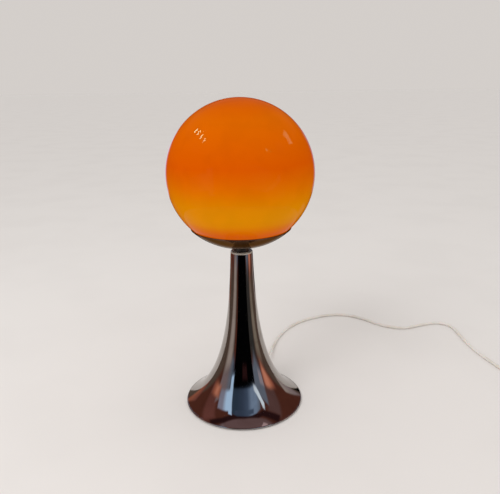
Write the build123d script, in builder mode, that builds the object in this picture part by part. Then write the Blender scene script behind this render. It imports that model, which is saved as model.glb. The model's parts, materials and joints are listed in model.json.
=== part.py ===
from build123d import *
import os
from math import asin, cos, degrees, exp, hypot, pi, radians, sin, sqrt, tan

# A table lamp. A glass globe stands in a shallow metal dish, on a stem that flares like a trumpet into its
# base. Millimetres, +Z up, with the origin on the lamp's axis at the surface that it stands on. The globe
# lifts off, the bulb screws out, and the rocker of the switch on the cord tilts.

# ---- Driving dimensions ------------------------------------------------------------------------------

GLOBE_RADIUS = 100.0
GLOBE_WALL = 3.0
GLOBE_CENTRE = 341.0  # its height, so the lamp stands 441 mm high
MOUTH_DEPTH = 90.0  # the globe is ground flat this far below its centre

DISH_GAP = 0.4  # between the glass and the dish that follows it
DISH_WALL = 1.2
DISH_RIM_RADIUS = 69.5
DISH_FLAT_RADIUS = 12.0  # the dish is pressed flat this far out from its hole

# The flare's radius at a height is STEM + SWEEP e^(-height / SWEEP_HEIGHT) + TOE e^(-height / TOE_HEIGHT)
FLARE_STEM = 12.9
FLARE_SWEEP = 65.0
FLARE_SWEEP_HEIGHT = 72.0
FLARE_TOE = 13.3
FLARE_TOE_HEIGHT = 13.3
FLARE_WALL = 1.2
FLARE_FOOT = 3.2
STEM_TOP = 231.0
RIM_RADIUS = 86.3
RIM_BEAD = 1.4  # radius of the rolled edge's section
RIM_CLEARANCE = 0.7  # under the rolled edge
COLLAR_TOP = 233.5
COLLAR_ROUND = 1.6
SPIGOT_RADIUS = 14.0  # of the collar's part that fits into the stem
SPIGOT_DEPTH = 6.0
NECK_RADIUS = 11.3

ROD_RADIUS = 4.95  # threaded tube, 10 mm across
ROD_BORE = 3.9
ROD_HOLE = 5.15  # what goes over the tube
ROD_LOW = 31.0
ROD_HIGH = 253.0
NUT_ACROSS_FLATS = 14.0
NUT_HEIGHT = 4.0
WASHER_THICKNESS = 1.5
BASE_WASHER_RADIUS = 10.0
DISH_WASHER_RADIUS = 10.5

FELT_THICKNESS = 2.0
FELT_RADIUS = 80.5
PLATE_THICKNESS = 2.0
PLATE_RADIUS = 81.0
PLATE_SCREW_CIRCLE = 52.0
PLATE_SCREW_START = 10.0  # direction of the first screw, clear of the cord's channel
PLATE_SCREW_RADIUS = 1.95
PLATE_SCREW_HEAD = 3.9
PLATE_SCREW_LENGTH = 12.0
SCREW_CLEARANCE = 0.1
FELT_HOLE = 6.0
WEIGHT_FOOT = 4.1
WEIGHT_GAP = 0.3  # between the casting and the flare
POCKET_RADIUS = 26.0
POCKET_TOP = 37.0
CHANNEL_WIDTH = 15.0
CHANNEL_TOP = 18.5

CORD = 4.8  # diameter
CORD_RADIUS = CORD / 2
CORE_RADIUS = 0.9
CORD_BORE = 2.45  # of what the cord passes through
EXIT_ANGLE = 70.0  # direction in which the cord leaves, from +X
EXIT_HEIGHT = 10.5
EXIT_REACH = 104.0  # from the axis to the tip of the strain relief
RELIEF_FLANGE = 61.0  # from the axis to the strain relief's inner end
RELIEF_FLANGE_RADIUS = 6.2
RELIEF_FLANGE_THICKNESS = 2.0
RELIEF_RADIUS = 4.4
RELIEF_TAPER = 82.0  # from the axis to where the taper starts
RELIEF_TIP_RADIUS = 2.9
BEND_RADIUS = 19.0  # where the cord turns from the tube to the exit
SHEATH_END = 250.0

HOLDER_FOOT = 247.0
HOLDER_RADIUS = 19.5
HOLDER_WALL = 1.6
HOLDER_HUB = 9.0
HOLDER_HUB_HEIGHT = 4.0
HOLDER_CONE_TOP = 9.5
HOLDER_SEAM = 266.0
HOLDER_TOP = 304.0
HOLDER_LIP = 0.4
INSERT_LOW = 262.0
INSERT_FACE = 268.5
SHELL_BORE = 13.55  # of the lampholder's screw shell, for a 27 mm cap
SHELL_WALL = 0.4
SHELL_TOP = 291.5

THREAD_PITCH = 3.629
CAP_CREST = 13.1
CAP_ROOT = 12.2
CAP_WALL = 0.6
CAP_FOOT = 275.6
CAP_RINGS = 4
BULB_TIP = 270.4
BULB_NECK = 13.6
BULB_NECK_LOW = 296.0
BULB_NECK_HIGH = 302.0
BULB_RADIUS = 30.0
BULB_CENTRE = 345.3
BULB_WALL = 0.8
BULB_SHOULDER = 50.0  # degrees below the ball's middle, where the neck's curve begins

SWITCH_CENTRE = (449.0, -34.0)
SWITCH_HEADING = -77.0  # degrees from +X
SWITCH_LENGTH = 60.0
SWITCH_WIDTH = 26.0
SWITCH_FOOT = 0.3
SWITCH_SEAM = 7.5
SWITCH_TOP = 16.5
SWITCH_WALL = 1.6
SWITCH_CORNER = 8.0
ROCKER_HALF = 11.4
ROCKER_WIDTH = 12.0
ROCKER_PIVOT = 14.3
ROCKER_TILT = 7.0  # degrees each way from level
CORD_IN_SWITCH = 5.0

COIL_START = (543.0, -50.0)  # where the cord's first turn begins, heading along +Y
COIL_RADIUS = 32.5  # of the outermost turn's middle line
COIL_STEP = 5.6  # between neighbouring turns
COIL_RISE = 5.4  # from the lower layer to the upper one
COIL_LOW = 3.0
COIL_TURNS = 5.0
COIL_LEAD = 5.0
COIL_TO_PLUG = 25.0
TIE_WIDTH = 8.0
TIE_THICKNESS = 0.4

PLUG_THICKNESS = 16.0
PLUG_BODY = 34.0
PLUG_TAIL = 18.0
PLUG_HALF_WIDTH = 17.0
PLUG_SHOULDER = 12.0  # the plug's full width begins this far behind its face
PIN_RADIUS = 2.0
PIN_LENGTH = 19.0
PIN_SPACING = 19.0

# The cord's route along the floor, from the strain relief to the switch and from the switch to the coil
STRETCH_ROUTE = [
    (40.7, 111.8, 10.5),
    (45.5, 133.0, 6.0),
    (51.0, 162.0, 2.4),
    (62.0, 199.0, 2.4),
    (82.0, 240.0, 2.4),
    (116.0, 274.0, 2.4),
    (158.0, 295.5, 2.4),
    (201.0, 300.0, 2.4),
    (236.0, 277.0, 2.4),
    (264.0, 244.0, 2.4),
    (300.0, 227.0, 2.4),
    (336.0, 242.0, 2.4),
    (368.0, 253.5, 2.4),
    (387.2, 248.0, 2.4),
    (399.3, 232.0, 2.4),
    (399.0, 201.0, 2.4),
    (400.2, 170.0, 2.4),
    (403.0, 141.0, 2.4),
    (409.0, 112.0, 2.4),
    (421.0, 70.0, 2.4),
    (431.0, 41.0, 2.4),
]
TAIL_ROUTE = [
    (469.0, -104.0, 2.6),
    (490.0, -124.0, 2.4),
    (517.0, -124.5, 2.4),
    (536.5, -106.0, 2.4),
    (543.0, -80.0, 3.0),
]

# ---- Shared shapes -----------------------------------------------------------------------------------


def flare_point(height, inset=0.0):
    """(Radius, height) of the flare's outer face, or of a line that runs inset inside it."""
    sweep = FLARE_SWEEP * exp(-height / FLARE_SWEEP_HEIGHT)
    toe = FLARE_TOE * exp(-height / FLARE_TOE_HEIGHT)
    slope = -sweep / FLARE_SWEEP_HEIGHT - toe / FLARE_TOE_HEIGHT
    across = hypot(1.0, slope)
    return (FLARE_STEM + sweep + toe - inset / across, height + inset * slope / across)


def under_globe(radius, reach):
    """Height of the lower half of a sphere about the globe's centre, at a distance from the axis."""
    return GLOBE_CENTRE - sqrt(radius**2 - reach**2)


def globe_arc(radius, low, high):
    """An arc about the globe's centre, between two angles from the level through it."""
    return CenterArc((0, GLOBE_CENTRE), radius, low, high - low)


def turned(*points):
    """A section of straight lines, given as (radius, height), turned about the lamp's axis."""
    with BuildPart() as piece:
        with BuildSketch(Plane.XZ):
            with BuildLine():
                Polyline(*points, close=True)
            make_face()
        revolve(axis=Axis.Z)
    return piece


def ring(outer, inner, low, high):
    """A plain turned ring."""
    return turned((inner, low), (outer, low), (outer, high), (inner, high))


def nut(low):
    """A hexagon nut on the threaded tube."""
    with BuildPart() as piece:
        with BuildSketch(Plane.XY.offset(low)):
            RegularPolygon(NUT_ACROSS_FLATS / 2, 6, major_radius=False)
            Circle(ROD_HOLE, mode=Mode.SUBTRACT)
        extrude(amount=NUT_HEIGHT)
    return piece


def corner_radii(name, points):
    """The largest arcs that a route's runs leave room for, one for each corner."""
    runs = [Vector(*after) - Vector(*before) for before, after in zip(points, points[1:])]
    radii = []
    for arriving, leaving in zip(runs, runs[1:]):
        shorter = min(arriving.length, leaving.length)
        half_turn = radians(arriving.get_angle(leaving)) / 2
        radii.append(0.45 * shorter / tan(half_turn))
    listed = " ".join(f"{radius:.0f}" for radius in radii)
    print(f"{name}: runs {min(run.length for run in runs):.0f} to {max(run.length for run in runs):.0f} mm,"
          f" radii {listed}")
    return radii


def cord_along(name, points, radius=CORD_RADIUS):
    """A tube of straight runs joined by tangent arcs."""
    with BuildPart() as piece:
        with BuildLine() as path:
            FilletPolyline(*points, radius=corner_radii(name, points))
        with BuildSketch(Plane(origin=points[0], z_dir=path.line % 0)):
            Circle(radius)
        sweep(path=path.line)
    length = path.wire().length
    print(f"{name}: length {length:.1f} mm, volume {piece.part.volume:.0f} mm3,"
          f" section times length {pi * radius**2 * length:.0f} mm3")
    return piece


exit_heading = Vector(cos(radians(EXIT_ANGLE)), sin(radians(EXIT_ANGLE)), 0)
exit_plane = Plane(origin=(0, 0, EXIT_HEIGHT), x_dir=exit_heading, z_dir=exit_heading.cross(Vector(0, 0, 1)))
exit_axis = Axis((0, 0, EXIT_HEIGHT), exit_heading)
exit_ground = Plane(origin=(0, 0, 0), x_dir=exit_heading, z_dir=(0, 0, 1))
exit_tip = exit_plane.from_local_coords(Vector(EXIT_REACH, 0, 0))

# ---- Base and stem -----------------------------------------------------------------------------------

felt_pad = ring(FELT_RADIUS, FELT_HOLE, 0.0, FELT_THICKNESS)

with BuildPart() as base_plate:
    with BuildSketch(Plane.XY.offset(FELT_THICKNESS)):
        Circle(PLATE_RADIUS)
    extrude(amount=PLATE_THICKNESS)
    with Locations(Plane.XY.offset(FELT_THICKNESS)):
        with PolarLocations(PLATE_SCREW_CIRCLE, 3, start_angle=PLATE_SCREW_START):
            Cone(
                PLATE_SCREW_HEAD + SCREW_CLEARANCE,
                PLATE_SCREW_RADIUS + 2.5 * SCREW_CLEARANCE,
                PLATE_THICKNESS,
                align=(Align.CENTER, Align.CENTER, Align.MIN),
                mode=Mode.SUBTRACT,
            )

with BuildPart() as plate_screws:
    with Locations(Plane.XY.offset(FELT_THICKNESS)):
        with PolarLocations(PLATE_SCREW_CIRCLE, 3, start_angle=PLATE_SCREW_START):
            Cone(
                PLATE_SCREW_HEAD,
                PLATE_SCREW_RADIUS,
                PLATE_THICKNESS,
                align=(Align.CENTER, Align.CENTER, Align.MIN),
            )
            Cylinder(
                PLATE_SCREW_RADIUS,
                PLATE_SCREW_LENGTH,
                align=(Align.CENTER, Align.CENTER, Align.MIN),
            )

weight_heights = [7.0, 12.0, 20.0, 30.0, 46.0]
weight_line = [flare_point(height, FLARE_WALL + WEIGHT_GAP) for height in weight_heights]
with BuildPart() as base_weight:
    with BuildSketch(Plane.XZ):
        with BuildLine():
            cone = Spline(*weight_line)
            Polyline(
                cone @ 1,
                (ROD_HOLE, weight_line[-1][1]),
                (ROD_HOLE, POCKET_TOP),
                (POCKET_RADIUS, POCKET_TOP),
                (POCKET_RADIUS, WEIGHT_FOOT),
                (weight_line[0][0], WEIGHT_FOOT),
                cone @ 0,
            )
        make_face()
    revolve(axis=Axis.Z)
    with BuildSketch(exit_ground.offset(WEIGHT_FOOT)):
        with Locations((EXIT_REACH / 2, 0)):
            Rectangle(EXIT_REACH, CHANNEL_WIDTH)
    extrude(amount=CHANNEL_TOP - WEIGHT_FOOT, mode=Mode.SUBTRACT)
    with Locations(Plane.XY.offset(WEIGHT_FOOT)):
        with PolarLocations(PLATE_SCREW_CIRCLE, 3, start_angle=PLATE_SCREW_START):
            Cylinder(
                PLATE_SCREW_RADIUS + SCREW_CLEARANCE,
                PLATE_SCREW_LENGTH - 1.0,
                align=(Align.CENTER, Align.CENTER, Align.MIN),
                mode=Mode.SUBTRACT,
            )

base_washer = ring(BASE_WASHER_RADIUS, ROD_HOLE, POCKET_TOP - WASHER_THICKNESS, POCKET_TOP)
base_nut = nut(POCKET_TOP - WASHER_THICKNESS - NUT_HEIGHT)
threaded_tube = ring(ROD_RADIUS, ROD_BORE, ROD_LOW, ROD_HIGH)

flare_heights = [FLARE_FOOT, 8.0, 15.0, 25.0, 38.0, 55.0, 78.0, 108.0, 145.0, 188.0, STEM_TOP]
with BuildPart() as trumpet:
    with BuildSketch(Plane.XZ):
        with BuildLine():
            outside = Spline(*[flare_point(height) for height in flare_heights])
            inside = Spline(*[flare_point(height, FLARE_WALL) for height in flare_heights])
            Line(outside @ 0, inside @ 0)
            Line(outside @ 1, inside @ 1)
        make_face()
        with Locations((RIM_RADIUS - RIM_BEAD, RIM_CLEARANCE + RIM_BEAD)):
            Circle(RIM_BEAD)
    revolve(axis=Axis.Z)
    with BuildSketch(
        Plane(origin=exit_plane.from_local_coords(Vector(RELIEF_FLANGE, 0, 0)), z_dir=exit_heading)
    ):
        Circle(RELIEF_RADIUS + 0.2)
    extrude(amount=RIM_RADIUS - RELIEF_FLANGE, mode=Mode.SUBTRACT)

with BuildPart() as stem_collar:
    with BuildSketch(Plane.XZ):
        with BuildLine():
            Polyline(
                (ROD_HOLE, COLLAR_TOP),
                (ROD_HOLE, STEM_TOP - SPIGOT_DEPTH),
                (SPIGOT_RADIUS, STEM_TOP - SPIGOT_DEPTH),
                (SPIGOT_RADIUS, STEM_TOP),
                (flare_point(STEM_TOP)[0], STEM_TOP),
                (flare_point(STEM_TOP)[0], COLLAR_TOP - COLLAR_ROUND),
            )
            TangentArc(
                (flare_point(STEM_TOP)[0], COLLAR_TOP - COLLAR_ROUND),
                (flare_point(STEM_TOP)[0] - COLLAR_ROUND, COLLAR_TOP),
                tangent=(0, 1),
            )
            Line((flare_point(STEM_TOP)[0] - COLLAR_ROUND, COLLAR_TOP), (ROD_HOLE, COLLAR_TOP))
        make_face()
    revolve(axis=Axis.Z)

# ---- Cord inside the lamp ----------------------------------------------------------------------------

with BuildPart() as inner_cord:
    with BuildLine() as inner_path:
        drop = Line((0, 0, SHEATH_END), (0, 0, EXIT_HEIGHT + BEND_RADIUS))
        bend_end = exit_plane.from_local_coords(Vector(BEND_RADIUS, 0, 0))
        TangentArc(drop @ 1, bend_end, tangent=(0, 0, -1))
        Line(bend_end, exit_tip)
    with BuildSketch(Plane.XY.offset(SHEATH_END)):
        Circle(CORD_RADIUS)
    sweep(path=inner_path.line)

with BuildPart() as strain_relief:
    with BuildSketch(exit_plane):
        with BuildLine():
            Polyline(
                (RELIEF_FLANGE, CORD_BORE),
                (RELIEF_FLANGE, RELIEF_FLANGE_RADIUS),
                (RELIEF_FLANGE + RELIEF_FLANGE_THICKNESS, RELIEF_FLANGE_RADIUS),
                (RELIEF_FLANGE + RELIEF_FLANGE_THICKNESS, RELIEF_RADIUS),
                (RELIEF_TAPER, RELIEF_RADIUS),
                (EXIT_REACH - 1.0, RELIEF_TIP_RADIUS + 0.3),
                (EXIT_REACH, RELIEF_TIP_RADIUS),
                (EXIT_REACH, CORD_BORE),
                close=True,
            )
        make_face()
    revolve(axis=exit_axis)

GRIP_NEAR = 32.0  # the two halves that stop the cord being pulled out, from the axis
GRIP_LENGTH = 9.0
GRIP_HALF_WIDTH = 7.0
GRIP_SCREW_OFFSET = 4.7
GRIP_SCREW_RADIUS = 1.2
GRIP_SCREW_HEAD = 2.1
GRIP_LOW = 4.6
GRIP_TOP = 16.0
GRIP_GAP = 0.2  # between the two halves


def grip_half(low, high):
    """Half of the block that is screwed together round the cord."""
    with BuildPart() as piece:
        with BuildSketch(exit_ground.offset(low)):
            with Locations((GRIP_NEAR + GRIP_LENGTH / 2, 0)):
                Rectangle(GRIP_LENGTH, 2 * GRIP_HALF_WIDTH)
                with GridLocations(0, 2 * GRIP_SCREW_OFFSET, 1, 2):
                    Circle(GRIP_SCREW_RADIUS + SCREW_CLEARANCE, mode=Mode.SUBTRACT)
        extrude(amount=high - low)
        with BuildSketch(
            Plane(origin=exit_plane.from_local_coords(Vector(GRIP_NEAR, 0, 0)), z_dir=exit_heading)
        ):
            Circle(CORD_BORE)
        extrude(amount=GRIP_LENGTH, mode=Mode.SUBTRACT)
    return piece


grip_lower = grip_half(GRIP_LOW, EXIT_HEIGHT - GRIP_GAP / 2)
grip_upper = grip_half(EXIT_HEIGHT + GRIP_GAP / 2, GRIP_TOP)
with BuildPart() as grip_screws:
    for low, high, radius in (
        (GRIP_LOW + 1.4, GRIP_TOP, GRIP_SCREW_RADIUS),
        (GRIP_TOP, GRIP_TOP + 1.6, GRIP_SCREW_HEAD),
    ):
        with BuildSketch(exit_ground.offset(low)):
            with Locations((GRIP_NEAR + GRIP_LENGTH / 2, 0)):
                with GridLocations(0, 2 * GRIP_SCREW_OFFSET, 1, 2):
                    Circle(radius)
        extrude(amount=high - low)

# ---- Neck and dish -----------------------------------------------------------------------------------

dish_outer = GLOBE_RADIUS + DISH_GAP + DISH_WALL
dish_inner = GLOBE_RADIUS + DISH_GAP
dish_flat_under = under_globe(dish_outer, DISH_FLAT_RADIUS)
dish_flat_top = dish_flat_under + DISH_WALL
dish_flat_edge = sqrt(dish_inner**2 - (GLOBE_CENTRE - dish_flat_top) ** 2)

neck_spacer = ring(NECK_RADIUS, ROD_HOLE, COLLAR_TOP, dish_flat_under)

with BuildPart() as dish:
    with BuildSketch(Plane.XZ):
        with BuildLine():
            rim_angle = degrees(asin(DISH_RIM_RADIUS / dish_outer)) - 90
            flat_angle = degrees(asin(DISH_FLAT_RADIUS / dish_outer)) - 90
            flat_angle_inner = degrees(asin(dish_flat_edge / dish_inner)) - 90
            under = globe_arc(dish_outer, flat_angle, rim_angle)
            over = globe_arc(dish_inner, flat_angle_inner, rim_angle)
            rim_middle = (under @ 1 + over @ 1) / 2
            rim_tip = rim_middle + (under % 1) * (DISH_WALL / 2)
            ThreePointArc(under @ 1, rim_tip, over @ 1)
            Polyline(under @ 0, (ROD_HOLE, dish_flat_under), (ROD_HOLE, dish_flat_top), over @ 0)
        make_face()
    revolve(axis=Axis.Z)

dish_washer = ring(DISH_WASHER_RADIUS, ROD_HOLE, dish_flat_top, dish_flat_top + WASHER_THICKNESS)
dish_nut = nut(dish_flat_top + WASHER_THICKNESS)

GASKET_OUTER = 42.5
GASKET_STEP = 35.7  # radius of the upstand that keeps the globe in the middle
GASKET_INNER = 33.9
GASKET_UPSTAND = 4.0
mouth_height = GLOBE_CENTRE - MOUTH_DEPTH
gasket_top = mouth_height - 0.3
with BuildPart() as seat_gasket:
    with BuildSketch(Plane.XZ):
        with BuildLine():
            gasket_radius = dish_inner - 0.1
            low_angle = degrees(asin(GASKET_INNER / gasket_radius)) - 90
            high_angle = degrees(asin(GASKET_OUTER / gasket_radius)) - 90
            seat = globe_arc(gasket_radius, low_angle, high_angle)
            Polyline(
                seat @ 1,
                (GASKET_OUTER, gasket_top),
                (GASKET_STEP, gasket_top),
                (GASKET_STEP, mouth_height + GASKET_UPSTAND),
                (GASKET_INNER, mouth_height + GASKET_UPSTAND),
                seat @ 0,
            )
        make_face()
    revolve(axis=Axis.Z)

# ---- Globe -------------------------------------------------------------------------------------------

with BuildPart() as globe:
    with BuildSketch(Plane.XZ):
        with BuildLine():
            globe_inside = GLOBE_RADIUS - GLOBE_WALL
            face = globe_arc(GLOBE_RADIUS, -degrees(asin(MOUTH_DEPTH / GLOBE_RADIUS)), 90)
            back = globe_arc(globe_inside, -degrees(asin(MOUTH_DEPTH / globe_inside)), 90)
            Line(face @ 0, back @ 0)
            Line(face @ 1, back @ 1)
        make_face()
    revolve(axis=Axis.Z)

# ---- Lampholder --------------------------------------------------------------------------------------

holder_bore = HOLDER_RADIUS - HOLDER_WALL
holder_cap = turned(
    (ROD_HOLE, HOLDER_FOOT),
    (HOLDER_HUB, HOLDER_FOOT),
    (HOLDER_HUB, HOLDER_FOOT + HOLDER_HUB_HEIGHT),
    (HOLDER_RADIUS, HOLDER_FOOT + HOLDER_CONE_TOP),
    (HOLDER_RADIUS, HOLDER_SEAM - 0.1),
    (holder_bore, HOLDER_SEAM - 0.1),
    (holder_bore, HOLDER_FOOT + HOLDER_CONE_TOP + 1.1),
    (HOLDER_HUB - 1.0, HOLDER_FOOT + HOLDER_HUB_HEIGHT + HOLDER_WALL),
    (ROD_HOLE, HOLDER_FOOT + HOLDER_HUB_HEIGHT + HOLDER_WALL),
)
holder_skirt = turned(
    (holder_bore, HOLDER_SEAM),
    (HOLDER_RADIUS, HOLDER_SEAM),
    (HOLDER_RADIUS, HOLDER_TOP - 1.2),
    (HOLDER_RADIUS - 0.5, HOLDER_TOP),
    (holder_bore - HOLDER_LIP, HOLDER_TOP),
    (holder_bore - HOLDER_LIP, HOLDER_TOP - 3.0),
    (holder_bore, HOLDER_TOP - 3.0 - HOLDER_LIP),
)

CENTRE_RIVET = -8.2  # places of the two rivets along X
SIDE_RIVET = 11.8
RIVET_RADIUS = 1.2
BLOCK_SIZE = 6.0
BLOCK_LOW = 258.2
BLOCK_HEIGHT = 3.7
BLOCK_MIDDLE = BLOCK_LOW + BLOCK_HEIGHT / 2
TERMINAL_SCREW_RADIUS = 1.2
TERMINAL_SCREW_HEAD = 1.8
CONTACT_WIDTH = 5.0
SHELL_HOLE = 10.0  # in the screw shell's floor, round the centre contact
with BuildPart() as holder_insert:
    with BuildSketch(Plane.XY.offset(INSERT_LOW)):
        Circle(holder_bore - 0.2)
        with Locations((CENTRE_RIVET, 0), (SIDE_RIVET, 0)):
            Circle(RIVET_RADIUS + 0.1, mode=Mode.SUBTRACT)
    extrude(amount=INSERT_FACE - INSERT_LOW)
    with BuildSketch(Plane.XY.offset(INSERT_FACE)):
        Circle(holder_bore - 0.6)
        Circle(SHELL_BORE + SHELL_WALL + 0.1, mode=Mode.SUBTRACT)
    extrude(amount=SHELL_TOP - 0.5 - INSERT_FACE)

with BuildPart() as screw_shell:
    with BuildSketch(Plane.XZ):
        with BuildLine():
            Polyline(
                (SHELL_HOLE, INSERT_FACE),
                (SHELL_BORE + SHELL_WALL, INSERT_FACE),
                (SHELL_BORE + SHELL_WALL, SHELL_TOP),
                (SHELL_BORE, SHELL_TOP),
                (SHELL_BORE, INSERT_FACE + SHELL_WALL),
                (SHELL_HOLE, INSERT_FACE + SHELL_WALL),
                close=True,
            )
        make_face()
    revolve(axis=Axis.Z)
    with BuildSketch(Plane.XY.offset(BLOCK_LOW + BLOCK_HEIGHT)):
        with Locations((SIDE_RIVET, 0)):
            Circle(RIVET_RADIUS)
    extrude(amount=INSERT_FACE - BLOCK_LOW - BLOCK_HEIGHT)

with BuildPart() as centre_contact:
    with BuildSketch(Plane.XZ):
        with BuildLine():
            Polyline(
                (-9.7, INSERT_FACE),
                (-4.0, INSERT_FACE),
                (1.5, BULB_TIP - 0.6),
                (1.5, BULB_TIP - 0.1),
                (0.2, BULB_TIP - 0.1),
                (-4.2, INSERT_FACE + 0.5),
                (-9.7, INSERT_FACE + 0.5),
                close=True,
            )
        make_face()
    extrude(amount=CONTACT_WIDTH / 2, both=True)
    with BuildSketch(Plane.XY.offset(BLOCK_LOW + BLOCK_HEIGHT)):
        with Locations((CENTRE_RIVET, 0)):
            Circle(RIVET_RADIUS)
    extrude(amount=INSERT_FACE - BLOCK_LOW - BLOCK_HEIGHT)

with BuildPart() as terminal_blocks:
    with BuildSketch(Plane.XY.offset(BLOCK_LOW)):
        with Locations((CENTRE_RIVET, 0), (SIDE_RIVET, 0)):
            Rectangle(BLOCK_SIZE, BLOCK_SIZE)
    extrude(amount=BLOCK_HEIGHT)
    with BuildSketch(Plane.XZ.offset(BLOCK_SIZE / 2)):
        with Locations((CENTRE_RIVET, BLOCK_MIDDLE), (SIDE_RIVET, BLOCK_MIDDLE)):
            Circle(TERMINAL_SCREW_RADIUS + 0.05)
    extrude(amount=-4.0, mode=Mode.SUBTRACT)

with BuildPart() as terminal_screws:
    for length, radius in ((-3.0, TERMINAL_SCREW_RADIUS), (1.4, TERMINAL_SCREW_HEAD)):
        with BuildSketch(Plane.XZ.offset(BLOCK_SIZE / 2)):
            with Locations((CENTRE_RIVET, BLOCK_MIDDLE), (SIDE_RIVET, BLOCK_MIDDLE)):
                Circle(radius)
        extrude(amount=length)

with BuildPart() as lead_wires:
    for start, end in ((-1.2, CENTRE_RIVET), (1.2, SIDE_RIVET)):
        with BuildLine() as lead_path:
            FilletPolyline(
                (start, 0, SHEATH_END),
                (start, 0, SHEATH_END + 3.2),
                (end, 0, BLOCK_LOW - 2.4),
                (end, 0, BLOCK_LOW),
                radius=1.6,
            )
        with BuildSketch(Plane(origin=(start, 0, SHEATH_END), z_dir=(0, 0, 1))):
            Circle(CORE_RADIUS)
        sweep(path=lead_path.line)

# ---- Bulb --------------------------------------------------------------------------------------------

bulb_tip = turned(
    (0, BULB_TIP),
    (3.6, BULB_TIP),
    (4.8, BULB_TIP + 0.6),
    (4.8, BULB_TIP + 1.4),
    (0, BULB_TIP + 1.4),
)
cap_bore = CAP_ROOT - CAP_WALL
bulb_insulator = turned(
    (0, BULB_TIP + 1.45),
    (5.2, BULB_TIP + 1.45),
    (9.5, CAP_FOOT - 1.0),
    (cap_bore - 0.1, CAP_FOOT - 0.2),
    (cap_bore - 0.1, CAP_FOOT + 1.5),
    (0, CAP_FOOT + 1.5),
)

with BuildPart() as bulb_cap:
    with BuildSketch(Plane.XZ):
        with BuildLine():
            cap_middle = (CAP_CREST + CAP_ROOT) / 2
            half_pitch = THREAD_PITCH / 2
            for half in range(2 * CAP_RINGS):
                low = CAP_FOOT + half * half_pitch
                ThreePointArc(
                    (cap_middle, low),
                    (CAP_ROOT if half % 2 else CAP_CREST, low + half_pitch / 2),
                    (cap_middle, low + half_pitch),
                )
            Polyline(
                (cap_middle, CAP_FOOT + CAP_RINGS * THREAD_PITCH),
                (cap_middle, BULB_NECK_LOW - 3.0),
                (CAP_CREST, BULB_NECK_LOW - 2.6),
                (CAP_CREST, BULB_NECK_LOW),
                (cap_bore, BULB_NECK_LOW),
                (cap_bore, CAP_FOOT),
                (cap_middle, CAP_FOOT),
            )
        make_face()
    revolve(axis=Axis.Z)


def bulb_line(inset):
    """The bulb's outline from its neck to its top, or a line that runs inset inside it."""
    ball = BULB_RADIUS - inset
    shoulder = radians(BULB_SHOULDER)
    join = (ball * cos(shoulder), BULB_CENTRE - ball * sin(shoulder))
    neck = Line((BULB_NECK - inset, BULB_NECK_LOW + 0.1), (BULB_NECK - inset, BULB_NECK_HIGH))
    Spline(neck @ 1, join, tangents=[(0, 1), (sin(shoulder), cos(shoulder))])
    top = CenterArc((0, BULB_CENTRE), ball, -BULB_SHOULDER, 90 + BULB_SHOULDER)
    return neck @ 0, top @ 1


with BuildPart() as bulb_envelope:
    with BuildSketch(Plane.XZ):
        with BuildLine():
            outer_foot, outer_top = bulb_line(0.0)
            inner_foot, inner_top = bulb_line(BULB_WALL)
            Line(outer_foot, inner_foot)
            Line(outer_top, inner_top)
        make_face()
    revolve(axis=Axis.Z)

bulb_mount = turned(
    (0, BULB_NECK_LOW + 0.2),
    (10.5, BULB_NECK_LOW + 0.2),
    (6.0, 301.0),
    (3.0, 308.0),
    (2.6, 327.0),
    (4.0, 329.0),
    (2.0, 331.0),
    (0, 331.0),
)

with BuildPart() as bulb_filament:
    filament_points = [(-3.2, 0, 331.5), (-13.0, 0, 349.0), (0, 0, 357.0), (13.0, 0, 349.0), (3.2, 0, 331.5)]
    with BuildLine() as filament_path:
        FilletPolyline(*filament_points, radius=3.0)
    with BuildSketch(Plane(origin=filament_points[0], z_dir=filament_path.line % 0)):
        Circle(0.4)
    sweep(path=filament_path.line)

# ---- Switch on the cord ------------------------------------------------------------------------------

switch_heading = Vector(cos(radians(SWITCH_HEADING)), sin(radians(SWITCH_HEADING)), 0)
switch_ground = Plane(origin=(*SWITCH_CENTRE, 0), x_dir=switch_heading, z_dir=(0, 0, 1))
switch_along = Plane(
    origin=switch_ground.from_local_coords(Vector(-SWITCH_LENGTH / 2, 0, SWITCH_SEAM)),
    z_dir=switch_heading,
)
switch_side = Plane(
    origin=switch_ground.from_local_coords(Vector(0, 0, ROCKER_PIVOT)),
    x_dir=switch_heading,
    z_dir=switch_heading.cross(Vector(0, 0, 1)),
)
rocker_side = Plane(
    origin=switch_side.origin,
    x_dir=switch_heading * cos(radians(ROCKER_TILT)) + Vector(0, 0, 1) * sin(radians(ROCKER_TILT)),
    z_dir=switch_side.z_dir,
)
SWITCH_SCREWS = ((-17.5, 8.2), (17.5, -8.2))
SCREW_POST = 3.6  # radius of the switch's screw posts
SWITCH_SCREW_RADIUS = 1.4
SWITCH_SCREW_HEAD = 2.6
SWITCH_SCREW_TOP = 12.0
HEAD_SINK = 2.2  # how deep the screws' heads lie in the switch's base
PIVOT_HALF = 8.2  # half the length of the rocker's axle
PIVOT_RADIUS = 1.4


def switch_outline(inset):
    RectangleRounded(SWITCH_LENGTH - 2 * inset, SWITCH_WIDTH - 2 * inset, SWITCH_CORNER - inset)


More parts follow.
